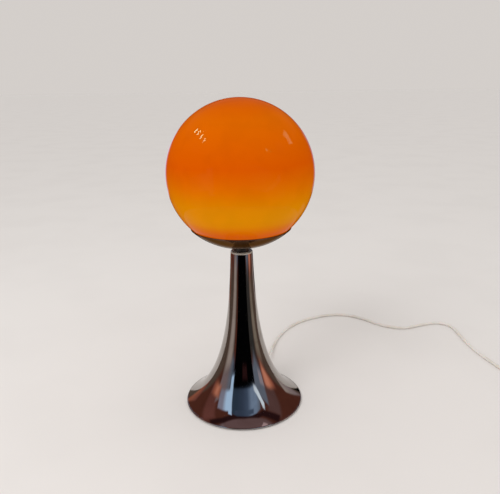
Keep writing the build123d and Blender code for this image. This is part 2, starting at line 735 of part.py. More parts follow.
with BuildPart() as switch_base:
    with BuildSketch(switch_ground.offset(SWITCH_FOOT)):
        switch_outline(0.0)
    extrude(amount=SWITCH_SEAM - 0.05 - SWITCH_FOOT)
    fillet(switch_base.faces().sort_by(Axis.Z)[0].edges(), 2.0)
    with BuildSketch(switch_ground.offset(SWITCH_FOOT + SWITCH_WALL)):
        switch_outline(SWITCH_WALL)
    extrude(amount=SWITCH_SEAM, mode=Mode.SUBTRACT)
    with BuildSketch(switch_ground.offset(SWITCH_FOOT + SWITCH_WALL)):
        with Locations(*SWITCH_SCREWS):
            Circle(SCREW_POST)
    extrude(amount=SWITCH_SEAM - 0.05 - SWITCH_FOOT - SWITCH_WALL)
    with BuildSketch(switch_ground):
        with Locations(*SWITCH_SCREWS):
            Circle(SWITCH_SCREW_RADIUS + 0.2)
    extrude(amount=SWITCH_SEAM, mode=Mode.SUBTRACT)
    with BuildSketch(switch_ground):
        with Locations(*SWITCH_SCREWS):
            Circle(SWITCH_SCREW_HEAD + 0.2)
    extrude(amount=SWITCH_FOOT + HEAD_SINK, mode=Mode.SUBTRACT)
    with BuildSketch(switch_along):
        Circle(CORD_BORE)
    extrude(amount=SWITCH_LENGTH, mode=Mode.SUBTRACT)

with BuildPart() as switch_cover:
    with BuildSketch(switch_ground.offset(SWITCH_SEAM + 0.05)):
        switch_outline(0.0)
    extrude(amount=SWITCH_TOP - SWITCH_SEAM - 0.05)
    fillet(switch_cover.faces().sort_by(Axis.Z)[-1].edges(), 2.5)
    with BuildSketch(switch_ground.offset(SWITCH_SEAM)):
        switch_outline(SWITCH_WALL)
    extrude(amount=SWITCH_TOP - SWITCH_WALL - SWITCH_SEAM, mode=Mode.SUBTRACT)
    with BuildSketch(switch_ground.offset(SWITCH_SEAM + 0.05)):
        with Locations(*SWITCH_SCREWS):
            Circle(SCREW_POST - 0.6)
    extrude(amount=SWITCH_TOP - SWITCH_WALL - SWITCH_SEAM)
    with BuildSketch(switch_ground.offset(SWITCH_SEAM)):
        with Locations(*SWITCH_SCREWS):
            Circle(SWITCH_SCREW_RADIUS + 0.05)
    extrude(amount=5.2, mode=Mode.SUBTRACT)
    with BuildSketch(switch_ground.offset(ROCKER_PIVOT - 2.6)):
        with GridLocations(0, 2 * 7.5, 1, 2):
            Rectangle(7.0, 2.0)
    extrude(amount=SWITCH_TOP - SWITCH_WALL - ROCKER_PIVOT + 2.7)
    with BuildSketch(switch_ground.offset(SWITCH_SEAM)):
        Rectangle(2 * ROCKER_HALF + 1.6, ROCKER_WIDTH + 0.8)
    extrude(amount=SWITCH_TOP, mode=Mode.SUBTRACT)
    with BuildSketch(switch_side):
        Circle(PIVOT_RADIUS + 0.1)
    extrude(amount=PIVOT_HALF + 0.1, both=True, mode=Mode.SUBTRACT)
    with BuildSketch(switch_along):
        Circle(CORD_BORE)
    extrude(amount=SWITCH_LENGTH, mode=Mode.SUBTRACT)

with BuildPart() as switch_screws:
    for low, high, radius in (
        (SWITCH_FOOT + HEAD_SINK, SWITCH_SCREW_TOP, SWITCH_SCREW_RADIUS),
        (SWITCH_FOOT + 0.6, SWITCH_FOOT + HEAD_SINK, SWITCH_SCREW_HEAD),
    ):
        with BuildSketch(switch_ground.offset(low)):
            with Locations(*SWITCH_SCREWS):
                Circle(radius)
        extrude(amount=high - low)

with BuildPart() as switch_contacts:
    with BuildSketch(switch_ground.offset(4.5)):
        with GridLocations(2 * 21.5, 0, 2, 1):
            Rectangle(5.0, 6.0)
    extrude(amount=5.0)
    with BuildSketch(switch_ground.offset(7.5)):
        with GridLocations(2 * 13.0, 0, 2, 1):
            Rectangle(14.0, 3.0)
    extrude(amount=0.6)

with BuildPart() as rocker:
    with BuildSketch(rocker_side):
        with BuildLine():
            Polyline(
                (-ROCKER_HALF, 3.2),
                (-ROCKER_HALF, -1.6),
                (-4.0, -3.6),
                (4.0, -3.6),
                (ROCKER_HALF, -1.6),
                (ROCKER_HALF, 3.2),
            )
            ThreePointArc((ROCKER_HALF, 3.2), (0, 1.9), (-ROCKER_HALF, 3.2))
        make_face()
    extrude(amount=ROCKER_WIDTH / 2, both=True)
    with BuildSketch(switch_side):
        Circle(PIVOT_RADIUS)
    extrude(amount=PIVOT_HALF, both=True)

# ---- Free cord, coil, tie and plug -------------------------------------------------------------------

switch_in = switch_ground.from_local_coords(Vector(CORD_IN_SWITCH - SWITCH_LENGTH / 2, 0, SWITCH_SEAM))
switch_in_lead = switch_ground.from_local_coords(Vector(-SWITCH_LENGTH / 2 - 16.0, 0, SWITCH_SEAM))
switch_out = switch_ground.from_local_coords(Vector(SWITCH_LENGTH / 2 - CORD_IN_SWITCH, 0, SWITCH_SEAM))
switch_out_lead = switch_ground.from_local_coords(Vector(SWITCH_LENGTH / 2 + 16.0, 0, SWITCH_SEAM))

coil_end = Vector(*COIL_START, COIL_LOW + COIL_RISE)
coil_centre = Vector(COIL_START[0] - COIL_RADIUS, COIL_START[1], COIL_LOW)
coil_mouth = Vector(COIL_START[0], COIL_START[1] - COIL_LEAD, COIL_LOW)

cord_stretch = cord_along(
    "cord_stretch",
    [tuple(exit_tip), *STRETCH_ROUTE, tuple(switch_in_lead), tuple(switch_in)],
)
cord_tail = cord_along(
    "cord_tail",
    [tuple(switch_out), tuple(switch_out_lead), *TAIL_ROUTE, tuple(coil_mouth)],
)


def coil_point(turn):
    """The coil's middle line: it winds inwards, climbs a layer in half a turn, and winds out again."""
    radius = COIL_RADIUS - COIL_STEP * min(turn, COIL_TURNS - turn)
    climb = min(max((turn - COIL_TURNS / 2 + 0.25) / 0.5, 0.0), 1.0)
    height = COIL_RISE * (3 * climb**2 - 2 * climb**3)
    angle = 2 * pi * turn
    return coil_centre + Vector(radius * cos(angle), radius * sin(angle), height)


def coil_heading(turn):
    """The direction of the coil's middle line. Both its ends point along +Y."""
    if turn in (0, COIL_TURNS):
        return Vector(0, 1, 0)
    return (coil_point(turn + 0.01) - coil_point(turn - 0.01)).normalized()


def biarc(start, start_heading, end, end_heading):
    """Two arcs that leave start and reach end along the given headings and are tangent where they meet."""
    chord = end - start
    along = chord.dot(start_heading + end_heading)
    apart = 2 * (1 - start_heading.dot(end_heading))
    handle = (sqrt(along**2 + apart * chord.dot(chord)) - along) / apart
    first = start + start_heading * handle
    second = end - end_heading * handle
    meeting = (first + second) / 2
    TangentArc(start, meeting, tangent=start_heading)
    TangentArc(meeting, end, tangent=second - first)


with BuildPart() as cord_coil:
    with BuildLine() as coil_path:
        Line(coil_mouth, coil_point(0))
        quarters = [quarter / 4 for quarter in range(int(4 * COIL_TURNS) + 1)]
        for before, after in zip(quarters, quarters[1:]):
            biarc(coil_point(before), coil_heading(before), coil_point(after), coil_heading(after))
        Line(coil_end, coil_end + Vector(0, COIL_TO_PLUG, 0))
    with BuildSketch(Plane(origin=coil_mouth, z_dir=(0, 1, 0))):
        Circle(CORD_RADIUS)
    sweep(path=coil_path.line)

coil_wire = coil_path.wire()
coil_length = coil_wire.length
samples = [coil_wire @ (step / 600) for step in range(601)]
skipped = int(3 * CORD * 600 / coil_length)
gap = min(
    (samples[one] - samples[other]).length
    for one in range(601)
    for other in range(one + skipped, 601)
)
print(f"cord_coil: length {coil_length:.1f} mm, volume {cord_coil.part.volume:.0f} mm3, section times length"
      f" {pi * CORD_RADIUS**2 * coil_length:.0f} mm3, least gap to itself {gap - CORD:.2f} mm")

# The tie goes round all the turns on the coil's side towards the lamp
tie_near = coil_centre.X - COIL_RADIUS + COIL_STEP / 2 - CORD_RADIUS - 0.8
tie_far = coil_centre.X - COIL_RADIUS + COIL_STEP * COIL_TURNS / 2 + CORD_RADIUS + 0.8
tie_low = COIL_LOW - CORD_RADIUS - 0.15
tie_high = COIL_LOW + COIL_RISE + CORD_RADIUS + 0.15
tie_width = tie_far - tie_near
tie_height = tie_high - tie_low
with BuildPart() as cord_tie:
    with BuildSketch(Plane.XZ.offset(-coil_centre.Y)):
        with Locations(((tie_near + tie_far) / 2, (tie_low + tie_high) / 2)):
            RectangleRounded(tie_width + 2 * TIE_THICKNESS, tie_height + 2 * TIE_THICKNESS, 2.4)
            RectangleRounded(tie_width, tie_height, 2.0, mode=Mode.SUBTRACT)
    extrude(amount=TIE_WIDTH / 2, both=True)

plug_start = coil_end + Vector(0, COIL_TO_PLUG, 0)
plug_level = Plane(origin=plug_start, x_dir=(0, 1, 0), z_dir=(0, 0, 1))
plug_face = PLUG_TAIL + PLUG_BODY
with BuildPart() as plug_body:
    with BuildSketch(plug_level.offset(-PLUG_THICKNESS / 2)):
        with BuildLine():
            Polyline(
                (PLUG_TAIL - 4.0, -6.0),
                (PLUG_TAIL + 8.0, -13.0),
                (plug_face - PLUG_SHOULDER, -PLUG_HALF_WIDTH),
                (plug_face, -PLUG_HALF_WIDTH),
                (plug_face, PLUG_HALF_WIDTH),
                (plug_face - PLUG_SHOULDER, PLUG_HALF_WIDTH),
                (PLUG_TAIL + 8.0, 13.0),
                (PLUG_TAIL - 4.0, 6.0),
                close=True,
            )
        make_face()
    extrude(amount=PLUG_THICKNESS)
    fillet(plug_body.edges().filter_by(Axis.Z), 3.0)
    fillet(plug_body.faces().sort_by(Axis.Z)[0].edges(), 2.5)
    fillet(plug_body.faces().sort_by(Axis.Z)[-1].edges(), 2.5)
    with BuildSketch(Plane(origin=plug_start, z_dir=(0, 1, 0))):
        Circle(3.2)
    with BuildSketch(Plane(origin=plug_start + Vector(0, PLUG_TAIL, 0), z_dir=(0, 1, 0))):
        Circle(5.6)
    loft()

with BuildPart() as plug_pins:
    with BuildSketch(Plane(origin=plug_start + Vector(0, plug_face, 0), x_dir=(1, 0, 0), z_dir=(0, 1, 0))):
        with GridLocations(PIN_SPACING, 0, 2, 1):
            Circle(PIN_RADIUS)
    extrude(amount=PIN_LENGTH)
    chamfer(plug_pins.faces().sort_by(Axis.Y)[-2:].edges(), 0.7)

# ---- Files -------------------------------------------------------------------------------------------

pieces = {
    "felt_pad": felt_pad,
    "base_plate": base_plate,
    "plate_screws": plate_screws,
    "base_weight": base_weight,
    "base_washer": base_washer,
    "base_nut": base_nut,
    "threaded_tube": threaded_tube,
    "trumpet": trumpet,
    "stem_collar": stem_collar,
    "inner_cord": inner_cord,
    "strain_relief": strain_relief,
    "grip_lower": grip_lower,
    "grip_upper": grip_upper,
    "grip_screws": grip_screws,
    "neck_spacer": neck_spacer,
    "dish": dish,
    "dish_washer": dish_washer,
    "dish_nut": dish_nut,
    "seat_gasket": seat_gasket,
    "globe": globe,
    "holder_cap": holder_cap,
    "holder_skirt": holder_skirt,
    "holder_insert": holder_insert,
    "screw_shell": screw_shell,
    "centre_contact": centre_contact,
    "terminal_blocks": terminal_blocks,
    "terminal_screws": terminal_screws,
    "lead_wires": lead_wires,
    "bulb_tip": bulb_tip,
    "bulb_insulator": bulb_insulator,
    "bulb_cap": bulb_cap,
    "bulb_envelope": bulb_envelope,
    "bulb_mount": bulb_mount,
    "bulb_filament": bulb_filament,
    "cord_stretch": cord_stretch,
    "switch_base": switch_base,
    "switch_cover": switch_cover,
    "switch_screws": switch_screws,
    "switch_contacts": switch_contacts,
    "rocker": rocker,
    "cord_tail": cord_tail,
    "cord_coil": cord_coil,
    "cord_tie": cord_tie,
    "plug_body": plug_body,
    "plug_pins": plug_pins,
}
os.makedirs("parts", exist_ok=True)
for label, piece in pieces.items():
    piece.part.label = label
    export_step(piece.part, f"parts/{label}.step")
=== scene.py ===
import json
from math import asin, cos, exp, pi, radians, sin, sqrt

import bmesh
import bpy
import numpy as np
from mathutils import Matrix, Quaternion, Vector


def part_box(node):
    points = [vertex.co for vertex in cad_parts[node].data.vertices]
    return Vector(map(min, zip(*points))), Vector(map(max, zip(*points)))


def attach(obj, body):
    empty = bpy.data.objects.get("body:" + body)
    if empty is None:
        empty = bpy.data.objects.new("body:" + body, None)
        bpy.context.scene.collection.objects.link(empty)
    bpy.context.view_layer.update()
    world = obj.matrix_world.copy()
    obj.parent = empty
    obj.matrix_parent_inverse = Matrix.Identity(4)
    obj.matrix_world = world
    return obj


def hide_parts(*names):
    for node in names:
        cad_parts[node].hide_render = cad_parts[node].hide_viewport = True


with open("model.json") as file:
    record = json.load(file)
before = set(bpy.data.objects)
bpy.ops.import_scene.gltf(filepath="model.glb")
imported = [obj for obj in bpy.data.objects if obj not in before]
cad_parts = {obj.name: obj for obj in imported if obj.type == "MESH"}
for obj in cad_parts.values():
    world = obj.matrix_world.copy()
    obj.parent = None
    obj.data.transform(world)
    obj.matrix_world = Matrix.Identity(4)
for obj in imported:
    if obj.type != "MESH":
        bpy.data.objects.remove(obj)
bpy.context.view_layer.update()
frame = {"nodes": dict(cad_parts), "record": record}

# A table lamp: a lit glass globe in a chrome dish, on a chrome stem that flares into its base, with its
# mains cord, switch and plug. Metres, +Z up, the origin on the lamp's axis where it stands.

# ---- Sizes ----

globe_low, globe_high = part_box("globe")
GLOBE_RADIUS = 0.1
GLOBE_CENTRE = globe_high.z - GLOBE_RADIUS
GLOBE_WALL = 0.003
GROUND_EDGE = 0.0006  # the bevel of the ground edge at the globe's mouth
mouth_height = globe_low.z

DISH_GAP = 0.0004  # between the glass and the dish
DISH_WALL = 0.0012
DISH_RIM_RADIUS = 0.0695
DISH_FLAT_RADIUS = 0.012
ROD_HOLE = 0.00515

EXIT_ANGLE = radians(70.0)  # where the cord leaves the base
EXIT_HEIGHT = 0.0105

# The flare's radius at a height is Stem + Sweep e^(-height / Sweep height) + Toe e^(-height / Toe height).
# Its rolled edge has a rim and a bead, lifted off the floor, and the hole is the cord's.
STEM_TOP = 0.231
FLARE = {
    "Stem": 0.0129,
    "Sweep": 0.065,
    "Sweep height": 0.072,
    "Toe": 0.0133,
    "Toe height": 0.0133,
    "Wall": 0.0012,
    "Foot": 0.0032,
    "Top": STEM_TOP,
    "Rim": 0.0863,
    "Bead": 0.0014,
    "Lift": 0.0007,
    "Hole": 0.0046,
    "Hole height": EXIT_HEIGHT,
    "Hole direction": EXIT_ANGLE,
}
collar_low, collar_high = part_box("stem_collar")
COLLAR_ROUND = 0.0016
COLLAR_SPIGOT = 0.014

CORD_DIAMETER = 0.0048

# The cord's route, from the strain relief to the switch and from the switch to the coil
STRETCH_ROUTE = [
    (0.03557, 0.09773, 0.0105),
    (0.0407, 0.1118, 0.0105),
    (0.0455, 0.133, 0.006),
    (0.051, 0.162, 0.0024),
    (0.062, 0.199, 0.0024),
    (0.082, 0.240, 0.0024),
    (0.116, 0.274, 0.0024),
    (0.158, 0.2955, 0.0024),
    (0.201, 0.300, 0.0024),
    (0.236, 0.277, 0.0024),
    (0.264, 0.244, 0.0024),
    (0.300, 0.227, 0.0024),
    (0.336, 0.242, 0.0024),
    (0.368, 0.2535, 0.0024),
    (0.3872, 0.248, 0.0024),
    (0.3993, 0.232, 0.0024),
    (0.399, 0.201, 0.0024),
    (0.4002, 0.170, 0.0024),
    (0.403, 0.141, 0.0024),
    (0.409, 0.112, 0.0024),
    (0.421, 0.070, 0.0024),
    (0.431, 0.041, 0.0024),
    (0.43865, 0.01082, 0.0075),
    (0.44338, -0.00964, 0.0075),
]
TAIL_ROUTE = [
    (0.45462, -0.05836, 0.0075),
    (0.45935, -0.07882, 0.0075),
    (0.469, -0.104, 0.0026),
    (0.490, -0.124, 0.0024),
    (0.517, -0.1245, 0.0024),
    (0.5365, -0.106, 0.0024),
    (0.543, -0.080, 0.003),
    (0.543, -0.055, 0.003),
]
COIL_START = Vector((0.543, -0.050, 0.003))
COIL_RADIUS = 0.0325
COIL_STEP = 0.0056
COIL_RISE = 0.0054
COIL_TURNS = 5
COIL_CLIMB = 0.5  # of a turn, in which it climbs a layer
COIL_POINTS = 24  # in each turn
COIL_TO_PLUG = 0.025

# ---- Camera ----

LENS = 40.32
SENSOR_WIDTH = 36.0
CAMERA_PLACE = Vector((0.01186, -0.75039, 0.46379))
CAMERA_DOWN = 0.292420532  # radians below level
CAMERA_ROLL = 0.0138367


def place_camera():
    """The photograph's view: a little above the lamp, looking down at it."""
    data = bpy.data.cameras.new("camera")
    data.lens = LENS
    data.sensor_width = SENSOR_WIDTH
    camera = bpy.data.objects.new("camera", data)
    tilt = Matrix.Rotation(pi / 2 - CAMERA_DOWN, 4, "X")
    camera.matrix_world = Matrix.Translation(CAMERA_PLACE) @ tilt @ Matrix.Rotation(-CAMERA_ROLL, 4, "Z")
    bpy.context.scene.collection.objects.link(camera)
    bpy.context.scene.camera = camera


# ---- Shared ways to build ----


def in_scene(name, data):
    """A new object at the origin, in the scene."""
    thing = bpy.data.objects.new(name, data)
    bpy.context.scene.collection.objects.link(thing)
    return thing


class Value:
    """A node's output. Arithmetic on it adds Math nodes to its tree."""

    def __init__(self, tree, socket):
        self.tree = tree
        self.socket = socket

    def math(self, operation, *others):
        return math_node(self.tree, operation, self, *others)

    def __add__(self, other):
        return self.math("ADD", other)

    def __sub__(self, other):
        return self.math("SUBTRACT", other)

    def __rsub__(self, other):
        return math_node(self.tree, "SUBTRACT", other, self)

    def __mul__(self, other):
        return self.math("MULTIPLY", other)

    def __truediv__(self, other):
        return self.math("DIVIDE", other)

    def __rtruediv__(self, other):
        return math_node(self.tree, "DIVIDE", other, self)

    def __pow__(self, other):
        return self.math("POWER", other)


def plug_in(tree, socket, value):
    """Links a socket to another node's output, or gives it a plain value."""
    if isinstance(value, Value):
        value = value.socket
    if isinstance(value, bpy.types.NodeSocket):
        tree.links.new(value, socket)
    else:
        socket.default_value = value


def math_node(tree, operation, *values):
    node = tree.nodes.new("ShaderNodeMath")
    node.operation = operation
    for socket, value in zip(node.inputs, values):
        plug_in(tree, socket, value)
    return Value(tree, node.outputs[0])


def add_node(tree, kind, inputs=None, **settings):
    """A new node with its settings and inputs. An input is a value or another node's output."""
    node = tree.nodes.new(kind)
    for label, value in settings.items():
        setattr(node, label, value)
    for label, value in (inputs or {}).items():
        plug_in(tree, node.inputs[label], value)
    return node


def made(tree, kind, inputs=None, **settings):
    """The first output of a new node."""
    return Value(tree, add_node(tree, kind, inputs, **settings).outputs[0])


def mixed(tree, share, first, second):
    """A colour that goes from first to second with a share."""
    mix = tree.nodes.new("ShaderNodeMix")
    mix.data_type = "RGBA"
    factor, start, end = mix.inputs[0], mix.inputs[6], mix.inputs[7]
    plug_in(tree, factor, share)
    for socket, colour in ((start, first), (end, second)):
        plug_in(tree, socket, colour if isinstance(colour, Value) else (*colour, 1.0))
    return Value(tree, mix.outputs[2])


INPUT_KINDS = {
    int: "NodeSocketInt",
    float: "NodeSocketFloat",
    tuple: "NodeSocketColor",
    Vector: "NodeSocketVector",
    bpy.types.Material: "NodeSocketMaterial",
}
OUTPUT_KINDS = {"VALUE": "NodeSocketFloat", "RGBA": "NodeSocketColor", "GEOMETRY": "NodeSocketGeometry"}


def make_group(build, kind, inputs):
    """A node group named after the function that builds its nodes from its inputs and gives its outputs."""
    tree = bpy.data.node_groups.new(build.__name__, kind)
    for label, value in inputs.items():
        socket = tree.interface.new_socket(name=label, in_out="INPUT", socket_type=INPUT_KINDS[type(value)])
        socket.default_value = value
    sockets = tree.nodes.new("NodeGroupInput").outputs
    results = build(tree, {label: Value(tree, socket) for label, socket in zip(inputs, sockets)})
    for label, value in results.items():
        kind_out = OUTPUT_KINDS[value.socket.type]
        tree.interface.new_socket(name=label, in_out="OUTPUT", socket_type=kind_out)
    end = tree.nodes.new("NodeGroupOutput")
    for label, value in results.items():
        plug_in(tree, end.inputs[label], value)
    return tree


# ---- Effects that several finishes share ----

SMUDGE_EDGE = (0.46, 0.7)  # the cloud's values where smudges begin and where they are full
GRAIN_PITS = (0.55, 0.35)  # the grain's values where pits begin and where they are deepest
SPECKS = 260.0  # of dust, to the metre
RING_DRIFT = 40.0  # clouds to the metre, which move the turning rings


def object_place(tree):
    return add_node(tree, "ShaderNodeTexCoord").outputs["Object"]


def parts_of(tree, vector):
    """The X, Y and Z of a vector."""
    node = add_node(tree, "ShaderNodeSeparateXYZ", {"Vector": vector})
    return [Value(tree, socket) for socket in node.outputs]


def noise(tree, scale, detail, distortion=0.0):
    """A cloud through the piece, from 0 to 1."""
    inputs = {"Vector": object_place(tree), "Scale": scale, "Detail": detail, "Distortion": distortion}
    return Value(tree, add_node(tree, "ShaderNodeTexNoise", inputs).outputs["Fac"])


def mapped(tree, value, low, high, start=0.0, end=1.0):
    """Goes from start to end where the value goes from low to high."""
    inputs = {"Value": value, "From Min": low, "From Max": high, "To Min": start, "To Max": end}
    return made(tree, "ShaderNodeMapRange", inputs)


def smudges(tree, given):
    """Finger marks and wiped streaks: a roughness that wanders between two values, and its mask."""
    edge = mapped(tree, noise(tree, 1.0 / given["Size"], 5.0, 0.6), *SMUDGE_EDGE)
    return {"Roughness": mapped(tree, edge, 0.0, 1.0, given["Clean"], given["Marked"]), "Mask": edge}


def grain(tree, given):
    """Fine grain of a moulded, cast or felted surface: its height and a mask of its low places."""
    cells = noise(tree, 1.0 / given["Size"], given["Detail"])
    return {"Height": cells, "Mask": mapped(tree, cells, *GRAIN_PITS)}


def turning(tree, given):
    """Fine rings left by turning or spinning about the lamp's axis, by height and radius."""
    x, y, z = parts_of(tree, object_place(tree))
    along = (x**2.0 + y**2.0).math("SQRT") + z
    inputs = {"W": along / given["Spacing"], "Scale": 1.0, "Detail": 3.0}
    lines = add_node(tree, "ShaderNodeTexNoise", inputs, noise_dimensions="1D").outputs["Fac"]
    return {"Height": Value(tree, lines) + noise(tree, RING_DRIFT, 1.0) * given["Wander"]}


def dust(tree, given):
    """A thin veil of dust on what faces up, as a colour."""
    facing_up = parts_of(tree, add_node(tree, "ShaderNodeNewGeometry").outputs["Normal"])[2]
    amount = facing_up.math("MAXIMUM", 0.0) * noise(tree, SPECKS, 4.0) * given["Amount"]
    return {"Color": mixed(tree, amount, given["Surface"], given["Dust"]), "Mask": amount}


EFFECTS = {
    build.__name__: make_group(build, "ShaderNodeTree", inputs)
    for build, inputs in (
        (smudges, {"Size": 0.02, "Clean": 0.1, "Marked": 0.3}),
        (grain, {"Size": 0.001, "Detail": 3.0}),
        (turning, {"Spacing": 0.0008, "Wander": 0.5}),
        (dust, {"Surface": (0.5, 0.5, 0.5, 1.0), "Dust": (0.42, 0.40, 0.37, 1.0), "Amount": 0.15}),
    )
}


class Finish:
    """A material under construction, with short ways to add what varies over its surface."""

    def __init__(self, name, **constants):
        self.material = bpy.data.materials.new(name)
        self.material.use_nodes = True
        self.tree = self.material.node_tree
        self.shader = self.tree.nodes["Principled BSDF"]
        self.normal = None
        for label, value in constants.items():
            self.shader.inputs[label.replace("_", " ")].default_value = value

    def effect(self, name, **values):
        node = add_node(self.tree, "ShaderNodeGroup", values, node_tree=EFFECTS[name])
        return {socket.name: Value(self.tree, socket) for socket in node.outputs}

    def feed(self, output, label="Base Color"):
        plug_in(self.tree, self.shader.inputs[label], output)

    def wear(self, first, second, size, clean, marked):
        """Smudges that change the roughness, and the colour, which it gives."""
        marks = self.effect("smudges", Size=size, Clean=clean, Marked=marked)
        self.feed(marks["Roughness"], "Roughness")
        return mixed(self.tree, marks["Mask"], first, second)

    def colour(self, mask, first, second, label="Base Color"):
        """Feeds a colour that goes from first to second with a mask."""
        self.feed(mixed(self.tree, mask, first, second), label)

    def bump(self, height, depth):
        """Adds a height, depth metres deep, on top of the ones added before."""
        node = add_node(self.tree, "ShaderNodeBump", {"Distance": depth, "Height": height})
        if self.normal:
            plug_in(self.tree, node.inputs["Normal"], self.normal)
        self.normal = Value(self.tree, node.outputs["Normal"])
        self.feed(self.normal, "Normal")


# ---- Finishes ----


def metal(name, colour, tarnish, clean, marked, turning_depth, smudge_size=0.03, **constants):
    """Bare or plated metal: colour that dulls in patches, smudged gloss and fine turning rings."""
    finish = Finish(name, Metallic=1.0, **constants)
    finish.feed(finish.wear(colour, tarnish, smudge_size, clean, marked))
    if turning_depth:
        finish.bump(finish.effect("turning", Spacing=0.0009, Wander=0.4)["Height"], turning_depth)
    return finish.material


def plastic(name, colour, shade, roughness, marked, grain_size, grain_depth, dusty=0.15):
    """Moulded plastic: a slightly uneven colour, dust on top, and the mould's fine grain."""
    finish = Finish(name)
    uneven = finish.wear(colour, shade, 0.012, roughness, marked)
    finish.feed(finish.effect("dust", Surface=uneven, Amount=dusty)["Color"])
    finish.bump(finish.effect("grain", Size=grain_size)["Height"], grain_depth)
    return finish.material


# Colour, tarnish, roughness where clean and where marked, depth of the turning rings and size of the smudges
METALS = {
    # The chrome's colour is darker than bare chrome: painted shade, so that what it mirrors shows dimmer.
    "chrome": ((0.40, 0.37, 0.35), (0.34, 0.31, 0.29), 0.035, 0.09, 0.000004),
    "steel": ((0.60, 0.59, 0.56), (0.44, 0.42, 0.36), 0.24, 0.42, 0.00001, 0.008),
    "bulb_metal": ((0.78, 0.78, 0.77), (0.60, 0.59, 0.56), 0.2, 0.36, 0.00001, 0.006),
    "tungsten": ((0.20, 0.19, 0.18), (0.12, 0.11, 0.11), 0.35, 0.5, 0.0, 0.002),
    "brass": ((0.72, 0.50, 0.20), (0.48, 0.30, 0.12), 0.22, 0.42, 0.00001, 0.007),
}

# Colour, shade, roughness where clean and where marked, size and depth of the grain, and dust
PLASTICS = {
    "gasket": ((0.46, 0.45, 0.42), (0.38, 0.36, 0.33), 0.5, 0.7, 0.0009, 0.00003),
    "black_glass": ((0.012, 0.012, 0.016), (0.03, 0.03, 0.035), 0.08, 0.2, 0.002, 0.00002, 0.03),
    "holder_plastic": ((0.022, 0.021, 0.02), (0.04, 0.037, 0.034), 0.3, 0.48, 0.0008, 0.00003),
    "porcelain": ((0.82, 0.80, 0.74), (0.74, 0.70, 0.62), 0.14, 0.3, 0.003, 0.00005),
    "core_brown": ((0.22, 0.10, 0.04), (0.15, 0.065, 0.03), 0.4, 0.55, 0.0009, 0.00002),
    "white_plastic": ((0.84, 0.82, 0.77), (0.80, 0.775, 0.72), 0.24, 0.38, 0.0007, 0.000006),
    "tie_plastic": ((0.03, 0.03, 0.03), (0.06, 0.06, 0.06), 0.45, 0.6, 0.0006, 0.00003),
}


def dish_chrome_painted_dark():
    """The dish's chrome, painted darker and browner as painted shade for the dark reflections that it shows,
    seen almost edge on.
    """
    tint = (0.46, 0.38, 0.32, 1.0)
    return metal(
        "dish_chrome_painted_dark", (0.16, 0.10, 0.07), (0.13, 0.085, 0.06), 0.05, 0.12, 0.000004, Specular_Tint=tint
    )


def satin_ring():
    """The collar's brushed edge."""
    finish = Finish("satin_ring", Metallic=0.3)
    finish.feed(finish.wear((0.60, 0.54, 0.46), (0.48, 0.43, 0.36), 0.006, 0.28, 0.4))
    finish.bump(finish.effect("turning", Spacing=0.0005, Wander=0.3)["Height"], 0.00001)
    return finish.material


def dark_metal():
    finish = Finish("dark_metal", Metallic=0.6)
    finish.feed(finish.wear((0.045, 0.036, 0.03), (0.09, 0.075, 0.06), 0.01, 0.28, 0.45))
    finish.bump(finish.effect("grain", Size=0.0006)["Height"], 0.00001)
    return finish.material


def iron():
    finish = Finish("iron", Metallic=0.2)
    cast = finish.effect("grain", Size=0.0022, Detail=5.0)
    dark = mixed(finish.tree, cast["Mask"], (0.055, 0.055, 0.058), (0.028, 0.027, 0.028))
    finish.feed(finish.wear(dark, (0.10, 0.055, 0.035), 0.02, 0.55, 0.8))
    finish.bump(cast["Height"], 0.0006)
    return finish.material


def felt():
    finish = Finish("felt", Sheen_Weight=0.3, Sheen_Roughness=0.5, Roughness=1.0, Specular_IOR_Level=0.1)
    tufts = finish.effect("grain", Size=0.0011, Detail=6.0)
    finish.colour(tufts["Mask"], (0.035, 0.075, 0.04), (0.016, 0.04, 0.022))
    finish.bump(tufts["Height"], 0.00012)
    finish.bump(finish.effect("grain", Size=0.0003, Detail=2.0)["Height"], 0.00012)
    return finish.material


GLASS_HEIGHTS = (  # share of the globe's height, and the colour that the lit glass adds there
    (0.05, (0.40, 0.08, 0.004)),
    (0.16, (0.40, 0.075, 0.002)),
    (0.20, (0.42, 0.125, 0.0)),
    (0.24, (0.44, 0.188, 0.0)),
    (0.28, (0.44, 0.202, 0.0)),
    (0.35, (0.43, 0.192, 0.0)),
    (0.41, (0.43, 0.158, 0.0)),
    (0.47, (0.42, 0.116, 0.0)),
    (0.53, (0.40, 0.085, 0.0)),
    (0.60, (0.385, 0.060, 0.0)),
    (0.68, (0.385, 0.070, 0.0)),
    (0.82, (0.40, 0.092, 0.0)),
    (0.88, (0.385, 0.095, 0.0)),
    (0.95, (0.36, 0.078, 0.0)),
    (1.00, (0.33, 0.065, 0.004)),
)

LIMB_COLOUR = (0.14, 0.03, 0.0)  # of the glass seen edge on
LIMB_POWER = 6.0
GLASS_CLOUDS = 11.0  # to the metre, which shift the bands of colour
GLASS_SHIFT = 0.07  # as a share of the globe's height


